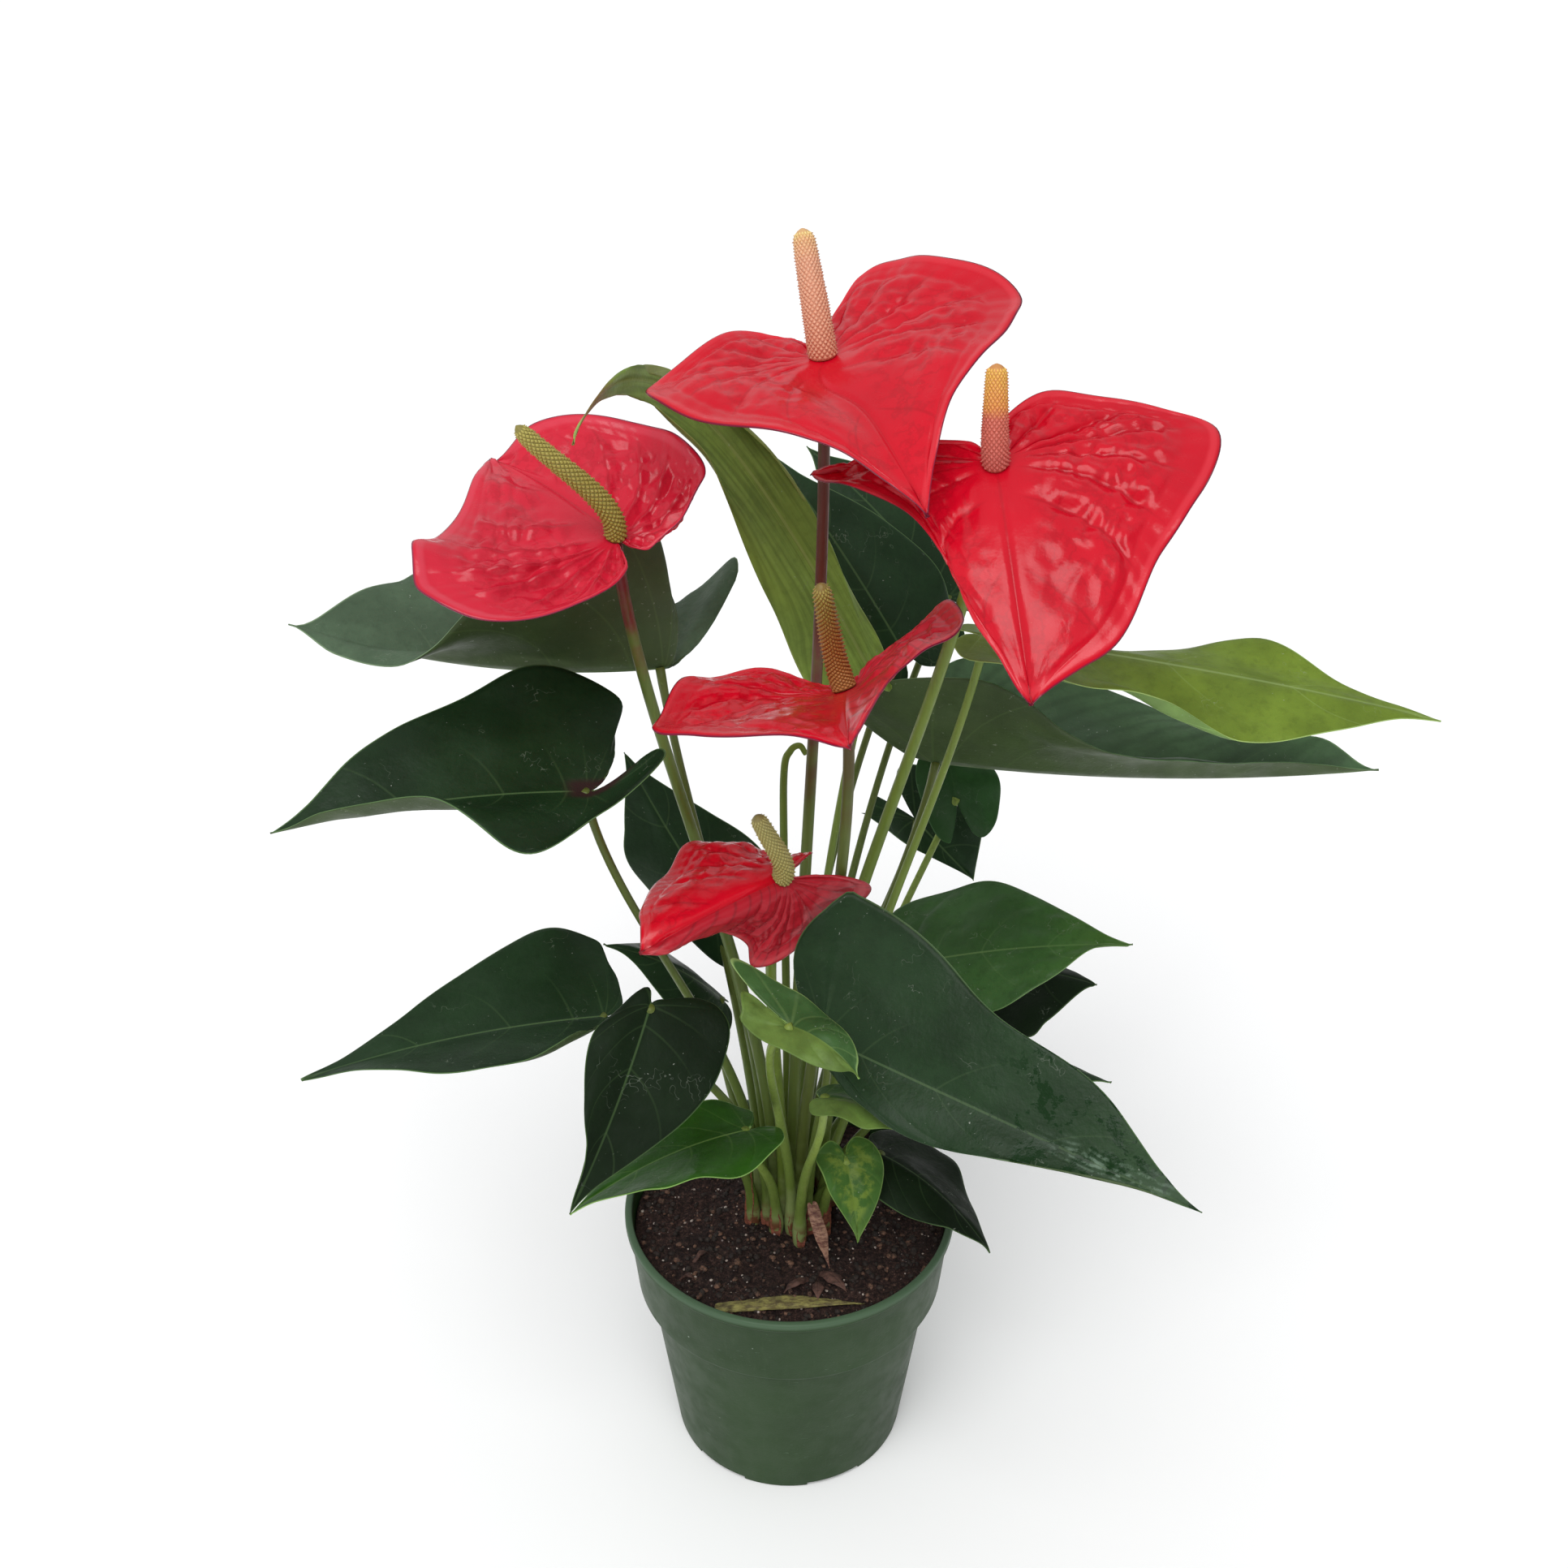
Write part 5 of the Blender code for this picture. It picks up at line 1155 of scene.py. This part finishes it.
def build_leaf(leaf):
    """A leaf's blade and petiole as one piece."""
    frame_of = BladeFrame(leaf.blade)
    shape = Shape()
    relief = partial(leaf_relief, CRUMPLE.get(leaf.name, 1.0))
    weave = Weave(LEAF_VEINS, LEAF_COLUMNS, LEAF_HUB, relief, LEAF_RIB_SPACING, LEAF_VEIN_CURVE)
    thicken(shape, *blade_surface(leaf.blade, weave, EDGES.get(leaf.name, EVEN)), LEAF_THICKNESS)
    place, slope, up = frame_of.midrib(0.0)
    build_stem(shape, frame_of, leaf.cell, place + slope * PETIOLE_INSET + up * PETIOLE_LIFT,
               (PETIOLE_FOOT, PETIOLE_TOP), PETIOLE_SWELL, 2, leaf.hook)
    look = LEAF_LOOKS.get(leaf.name, leaf.look)
    shape.build("leaf_" + leaf.name + "_fine",
                ["leaf_" + look, "leaf_under" + UNDERS.get(look, ""),
                 "petiole_dark" if leaf.look == "dark" else "petiole"],
                "leaf_" + LEAF_SLOTS.get(leaf.name, leaf.look), "leaf_" + leaf.name)


def spadix_radius(share):
    """The spadix's radius along its length as a share, narrowing to a round tip."""
    beyond = np.maximum(0.0, (share - SPADIX_ROUND_FROM) / (1 - SPADIX_ROUND_FROM))
    return (1 - SPADIX_TAPER * share ** SPADIX_SWELL) * np.sqrt(np.maximum(0.02, 1 - beyond ** 2))


def build_spadix(bloom, frame_of):
    """A spadix: a core covered with florets in crossing spirals."""
    name = bloom.name
    place, _, up = frame_of.midrib(0.0)
    base = place + up * (SPATHE_THICKNESS / 2 + GAP)
    tip = vec(*bloom.spadix_tip)
    reach = np.linalg.norm(tip - base)
    line = bezier(base, base + up * (SPADIX_PULL[0] * reach), tip + (base - tip) * SPADIX_PULL[1], tip,
                  SPADIX_STEPS)
    length = np.linalg.norm(np.diff(line, axis=0), axis=1).sum()
    _, first, second = rings(line, up)
    stations = np.linspace(0.0, 1.0, len(line))
    shape = Shape()
    tube(shape, line, bloom.spadix_radius * spadix_radius(stations) * SPADIX_CORE, SPADIX_SIDES, 0, up,
         floret=FLORET_BED)
    rng = random.Random(SEED)
    around = round(math.tau * bloom.spadix_radius / FLORET_SIZES[name])
    rows = round(2 * length / FLORET_SIZES[name])
    places, heights = [], []
    for r in range(1, rows - 1):
        for k in range(around):
            turn = (k + 0.5 * (r % 2)) / around
            for wide, lift in FLORET_LEVELS:
                for du, dv in ((1, 0), (0, 1), (-1, 0), (0, -1)):
                    places.append((turn + du * wide * 0.5 / around, (r + dv * wide) / rows))
                    heights.append(lift)
            places.append((turn, r / rows))
            heights.append(rng.uniform(*FLORET_TIPS))
    places, heights = np.array(places), np.array(heights)
    v = np.clip(places[:, 1], 0.0, 1.0)
    centre, a, b = (np.stack([np.interp(v, stations, part[:, i]) for i in range(3)], axis=1)
                    for part in (line, first, second))
    angle = math.tau * places[:, :1]
    radius = bloom.spadix_radius * spadix_radius(v)[:, None] \
        + FLORET_RELIEF[name] * (heights[:, None] - FLORET_MIDDLE)
    points = centre + (a * np.cos(angle) + b * np.sin(angle)) * radius
    last = 4 * (len(FLORET_LEVELS) - 1)
    pattern = [(i + c, i + (c + 1) % 4, i + 4 + (c + 1) % 4, i + 4 + c)
               for i in range(0, last, 4) for c in range(4)]
    pattern += [(last + c, last + (c + 1) % 4, last + 4) for c in range(4)]
    faces = [[i + start for i in face] for start in range(0, len(points), last + 5) for face in pattern]
    shape.add(points, faces, floret=heights, along=v)
    slot = "spadix" if name in ("top", "right") else "spadix_green"
    shape.build("spadix_" + name + "_fine", ["spadix_" + bloom.spadix_look], slot, "spadix_" + name)


def build_bloom(bloom):
    """A bloom's spathe, spadix and stalk."""
    name = bloom.name
    under, slot = ("pink", "spathe_pink") if bloom.look == "pink" else ("under", "spathe")
    frame_of = BladeFrame(bloom.spathe)
    shape = Shape()
    weave = Weave(SPATHE_VEINS, SPATHE_COLUMNS, SPATHE_HUB, partial(spathe_relief, QUILTING[name]),
                  SPATHE_RIB_SPACING, SPATHE_VEIN_CURVE, RIB_SWAY.get(name, 0.0))
    thicken(shape, *blade_surface(bloom.spathe, weave, EDGES.get(name, EVEN)), SPATHE_THICKNESS)
    shape.build("spathe_" + name + "_fine", ["spathe_" + bloom.look, "spathe_" + under], slot,
                "spathe_" + name)
    build_spadix(bloom, frame_of)
    place, _, up = frame_of.midrib(0.0)
    top = place - up * (SPATHE_THICKNESS / 2 + GAP)
    shape = Shape()
    build_stem(shape, frame_of, bloom.cell, top, (STALK_FOOT, STALK_TOP), STALK_SWELL, end=up)
    slot = "stem" if bloom.stalk_look == "green" else "stem_brown"
    shape.build("stalk_" + name + "_fine", ["stalk_" + bloom.stalk_look], slot, "stalk_" + name)


def build_bud():
    """The hooked young stem beside the top bloom's stalk."""
    foot, rise = stem_foot(BUD_CELL)
    line = catmull_rom([Vector(rise)] + [Vector(place) for place in BUD_ROUTE], BUD_STEPS)
    line = np.concatenate([[foot], line])
    shape = Shape()
    tube(shape, line, np.linspace(BUD_RADIUS, BUD_TIP_RADIUS, len(line)), STEM_SIDES)
    shape.build("bud_stem_fine", ["stalk_green"], "stem", "bud_stem")


def build_dry_bits():
    """The dried sheath beside the crown and the dead leaf lying on the soil."""
    for name, blade, look in (("dry_sheath", DRY_SHEATH, "dry"), ("dead_leaf", DEAD_LEAF, "straw")):
        shape = Shape()
        thicken(shape, *blade_surface(blade, DRY_WEAVE), LEAF_THICKNESS, (0, 0))
        shape.build(name + "_fine", [look], "dry", name)


def build_sheaths():
    """Papery leaf sheaths round the feet of the outer stems, and brown scraps lying on the soil."""
    rng = random.Random(SEED)
    shape = Shape()
    for cell in SHEATH_CELLS:
        x, y = cell_place(cell)
        away = np.array((x - CROWN_X, y - CROWN_Y + SHEATH_CENTRE))
        away = away / np.linalg.norm(away)
        out, side = vec(*away, 0.0), vec(-away[1], away[0], 0.0)
        foot = vec(x, y, soil_height(x, y)) + out * SHEATH_AWAY
        height = rng.uniform(*SHEATH_HEIGHTS)
        tip = foot + vec(0, 0, height) + out * rng.uniform(-0.6, 0.8) + side * rng.uniform(-1.5, 1.5)
        middle = foot + vec(0, 0, 0.35 * height) - out * 0.8
        half = rng.uniform(*SHEATH_HALF_WIDTHS)
        blade = Blade(foot, tip, middle - side * half, middle + side * half, (0.5, 0.5), 0.6, (-0.6, -0.6),
                      0.3)
        thicken(shape, *blade_surface(blade, DRY_WEAVE), SHEATH_THICKNESS, (0, 0))
    for x, y, turn, reach, half in SCRAPS:
        ahead, side = vec(math.cos(turn), math.sin(turn), 0.0), vec(-math.sin(turn), math.cos(turn), 0.0)
        place = vec(x, y, soil_height(x, y) + SCRAP_LIFT)
        middle = place + ahead * reach * 0.45 + vec(0, 0, SCRAP_CURL)
        blade = Blade(place, place + ahead * reach, middle - side * half, middle + side * half, (1.0, 1.0),
                      2.2, (-1.2, -1.2), 0.8)
        thicken(shape, *blade_surface(blade, DRY_WEAVE), SCRAP_THICKNESS, (1, 1))
    shape.build("crown_sheaths", ["sheath", "scrap"], "dry")


def wall_radius(z):
    """The pot's inner radius at a height."""
    if z >= COLLAR_BOTTOM_Z:
        share = (z - COLLAR_BOTTOM_Z) / (POT_HEIGHT - LIP_HEIGHT - COLLAR_BOTTOM_Z)
        return COLLAR_BOTTOM_RADIUS - WALL + share * (COLLAR_TOP_RADIUS - COLLAR_BOTTOM_RADIUS)
    return BASE_RADIUS - WALL + z / COLLAR_BOTTOM_Z * (BODY_TOP_RADIUS - BASE_RADIUS)


def rounded(points, radius, steps=5):
    """The profile with each inner corner rounded, as points."""
    points = np.array(points, dtype=float)
    result = [points[0]]
    for before, corner, after in zip(points, points[1:], points[2:]):
        near = min(radius, 0.45 * np.linalg.norm(before - corner), 0.45 * np.linalg.norm(after - corner))
        start = corner + unit(before - corner) * near
        end = corner + unit(after - corner) * near
        for t in (step / steps for step in range(steps + 1)):
            result.append(start * (1 - t) ** 2 + corner * 2 * t * (1 - t) + end * t * t)
    return result + [points[-1]]


def cut(target, name, bodies):
    """Cut bodies of (points, faces) from the target."""
    points, faces = [], []
    for corners, sides in bodies:
        faces += [tuple(i + len(points) for i in face) for face in sides]
        points += corners
    mesh = bpy.data.meshes.new(name)
    mesh.from_pydata([Vector(p) * MM for p in points], [], faces)
    tool = link(name, mesh)
    modifier = target.modifiers.new("Cut", "BOOLEAN")
    modifier.operation = "DIFFERENCE"
    modifier.solver = "EXACT"
    modifier.object = tool
    graph = bpy.context.evaluated_depsgraph_get()
    mesh = bpy.data.meshes.new_from_object(target.evaluated_get(graph))
    target.modifiers.clear()
    target.data = mesh
    bpy.data.objects.remove(tool, do_unlink=True)


def build_pot():
    """The nursery pot with rolled lip, collar, feet and drainage holes."""
    floor_top = FOOT_HEIGHT + FLOOR_THICKNESS
    lip_bottom = POT_HEIGHT - LIP_HEIGHT
    inner_lip = wall_radius(lip_bottom)
    profile = rounded([
        (BOSS_RADIUS, 0.0), (BOSS_RADIUS, FOOT_HEIGHT), (FOOT_RING_INNER, FOOT_HEIGHT),
        (FOOT_RING_INNER, 0.0), (BASE_RADIUS - FOOT_CHAMFER[0], 0.0), (BASE_RADIUS, FOOT_CHAMFER[1]),
        (BODY_TOP_RADIUS, COLLAR_BOTTOM_Z),
        (COLLAR_BOTTOM_RADIUS, COLLAR_BOTTOM_Z), (COLLAR_TOP_RADIUS, lip_bottom),
        (LIP_RADIUS, lip_bottom + 0.1), (LIP_RADIUS, POT_HEIGHT), (inner_lip, POT_HEIGHT),
        (inner_lip, lip_bottom),
        *((wall_radius(z), z) for z in (COLLAR_BOTTOM_Z + WALL, COLLAR_BOTTOM_Z - WALL, floor_top))],
        POT_ROUNDING)
    worn = [smooth(z, POT_HEIGHT - LIP_WEAR[0], POT_HEIGHT - LIP_WEAR[1]) for _, z in profile]
    shape = Shape()
    lathe(shape, profile, POT_SEGMENTS, edge=worn)
    pot = shape.build("pot_fine", ["pot"], "pot", "pot")
    box = [(0, 1, 3, 2), (4, 6, 7, 5), (0, 4, 5, 1), (2, 3, 7, 6), (0, 2, 6, 4), (1, 5, 7, 3)]
    notches, drains = [], []
    for k in range(FOOT_COUNT):
        degrees = FIRST_NOTCH_ANGLE + 360.0 * k / FOOT_COUNT
        turn = Matrix.Rotation(math.radians(degrees), 3, "Z")
        notches.append(([turn @ Vector((FOOT_RING_INNER + x, y, z)) for x in (-NOTCH_START, NOTCH_DEPTH)
                         for y in (-NOTCH_WIDTH / 2, NOTCH_WIDTH / 2) for z in (-CUT_MARGIN, FOOT_HEIGHT)],
                        box))
        angle = math.radians(degrees + DRAIN_TURN)
        x, y = DRAIN_RING_RADIUS * math.cos(angle), DRAIN_RING_RADIUS * math.sin(angle)
        ring = [math.tau * s / DRAIN_SIDES for s in range(DRAIN_SIDES)]
        drains.append(([Vector((x + DRAIN_RADIUS * math.cos(a), y + DRAIN_RADIUS * math.sin(a), z))
                        for z in (-CUT_MARGIN, floor_top + CUT_MARGIN) for a in ring],
                       sleeve(2, DRAIN_SIDES)))
    cut(pot, "notches", notches)
    cut(pot, "drains", drains)


def build_soil():
    """The soil with a crumbly surface."""
    bottom = FOOT_HEIGHT + FLOOR_THICKNESS + GAP
    inset, rise = SOIL_FOOT
    side = [(wall_radius(bottom) - inset, bottom), (wall_radius(bottom + rise) - GAP, bottom + rise)]
    side += [(wall_radius(z) - GAP, z + GAP) for z in (COLLAR_BOTTOM_Z - WALL, COLLAR_BOTTOM_Z + WALL)]
    side += [(wall_radius(SOIL_EDGE_Z) - GAP, SOIL_EDGE_Z - 1.0)]
    side += [(r, SOIL_EDGE_Z) for r in np.linspace(wall_radius(SOIL_EDGE_Z) - GAP - 0.6, 0.8, SOIL_RINGS)]
    shape = Shape()
    lathe(shape, side, SOIL_SEGMENTS)
    height, size, layer = SOIL_CRUMBS
    for point in shape.points[0]:
        x, y, z = point
        if z > SOIL_EDGE_Z - 0.5:
            crumbs = height * abs(noise.noise(Vector((x, y, layer)) / size))
            point[2] = soil_height(x, y) + soil_lumps(x, y) + crumbs - SOIL_SINK
    shape.build("soil_fine", ["soil"], "soil", "soil")


def lump(rng, place, size, flat):
    """Points and faces of one irregular crumb, a bent icosahedron."""
    turn = np.array(Matrix.Rotation(rng.uniform(0, math.tau), 3, "Z"))
    ring = ((0.9, 0.0), (0.28, 0.86), (-0.72, 0.53), (-0.72, -0.53), (0.28, -0.86))
    base = np.array([(0, 0, 1)] + [(x, y, 0.45) for x, y in ring]
                    + [(-x, -y, -0.45) for x, y in ring[3:] + ring[:3]] + [(0, 0, -1)])
    scale = vec(rng.uniform(*LUMP_LENGTH), rng.uniform(*LUMP_WIDTH), flat * rng.uniform(*LUMP_HEIGHT))
    jitter = np.array([[rng.uniform(*LUMP_JITTER)] for _ in base])
    pairs = [(i, i % 5 + 1) for i in range(1, 6)]
    faces = [(0, i, j) for i, j in pairs] + [(i, i + 5, j) for i, j in pairs]
    faces += [(j, i + 5, j + 5) for i, j in pairs] + [(11, j + 5, i + 5) for i, j in pairs]
    return (base * jitter * scale * size) @ turn.T + place, faces


def build_grains():
    """Perlite, bark and peat crumbs scattered over the soil."""
    rng = random.Random(SEED)
    shape = Shape()
    limit = wall_radius(SOIL_EDGE_Z) - GRAIN_INSET
    for slot, (count, sizes, flat) in enumerate(GRAINS):
        for _ in range(count):
            radius = limit * math.sqrt(rng.random())
            angle = rng.uniform(0, math.tau)
            x, y = radius * math.cos(angle), radius * math.sin(angle)
            size = rng.uniform(*sizes)
            z = soil_height(x, y) + soil_lumps(x, y) + GRAIN_SEAT * size
            shape.add(*lump(rng, np.array((x, y, z)), size, flat), slot)
    shape.build("soil_bits", ["perlite", "bark", "peat"], "soil")


def build_stage():
    """Pale floor, soft studio light and the camera."""
    scene = bpy.context.scene
    mesh = bpy.data.meshes.new("floor")
    corners = [(x * FLOOR_HALF, y * FLOOR_HALF, 0) for x, y in ((-1, -1), (1, -1), (1, 1), (-1, 1))]
    mesh.from_pydata(corners, [], [(0, 1, 2, 3)])
    floor = link("floor", mesh)
    floor.location.z = -FLOOR_DROP
    n = Look("floor_look", None)
    n.put(n.shader, Base_Color=n.mix(n.noise(300, 2), (0.97, 0.97, 0.97), (0.99, 0.99, 0.99)), Roughness=0.8)
    mesh.materials.append(n.material)
    scene.world = bpy.data.worlds.new("studio")
    scene.world.use_nodes = True
    background = scene.world.node_tree.nodes["Background"].inputs
    background["Color"].default_value = WORLD_COLOUR
    background["Strength"].default_value = WORLD_STRENGTH
    for name, place, power, spread in LIGHTS:
        data = bpy.data.lights.new(name, "SUN")
        data.energy = power
        data.angle = spread
        lamp = link(name, data)
        lamp.location = place
        lamp.rotation_euler = (Vector(AIM) - Vector(place)).to_track_quat("-Z", "Y").to_euler()
    camera = bpy.data.cameras.new("camera")
    camera.sensor_width = SENSOR
    camera.lens = LENS
    eye = link("camera", camera)
    eye.location = CAMERA_PLACE
    eye.rotation_euler = (CAMERA_TILT, 0, 0)
    scene.camera = eye
    scene.view_settings.view_transform = "Standard"


build_pot()
build_soil()
build_grains()
for bloom in BLOOMS:
    build_bloom(bloom)
for leaf in LEAVES:
    build_leaf(leaf)
build_bud()
build_dry_bits()
build_sheaths()
build_stage()
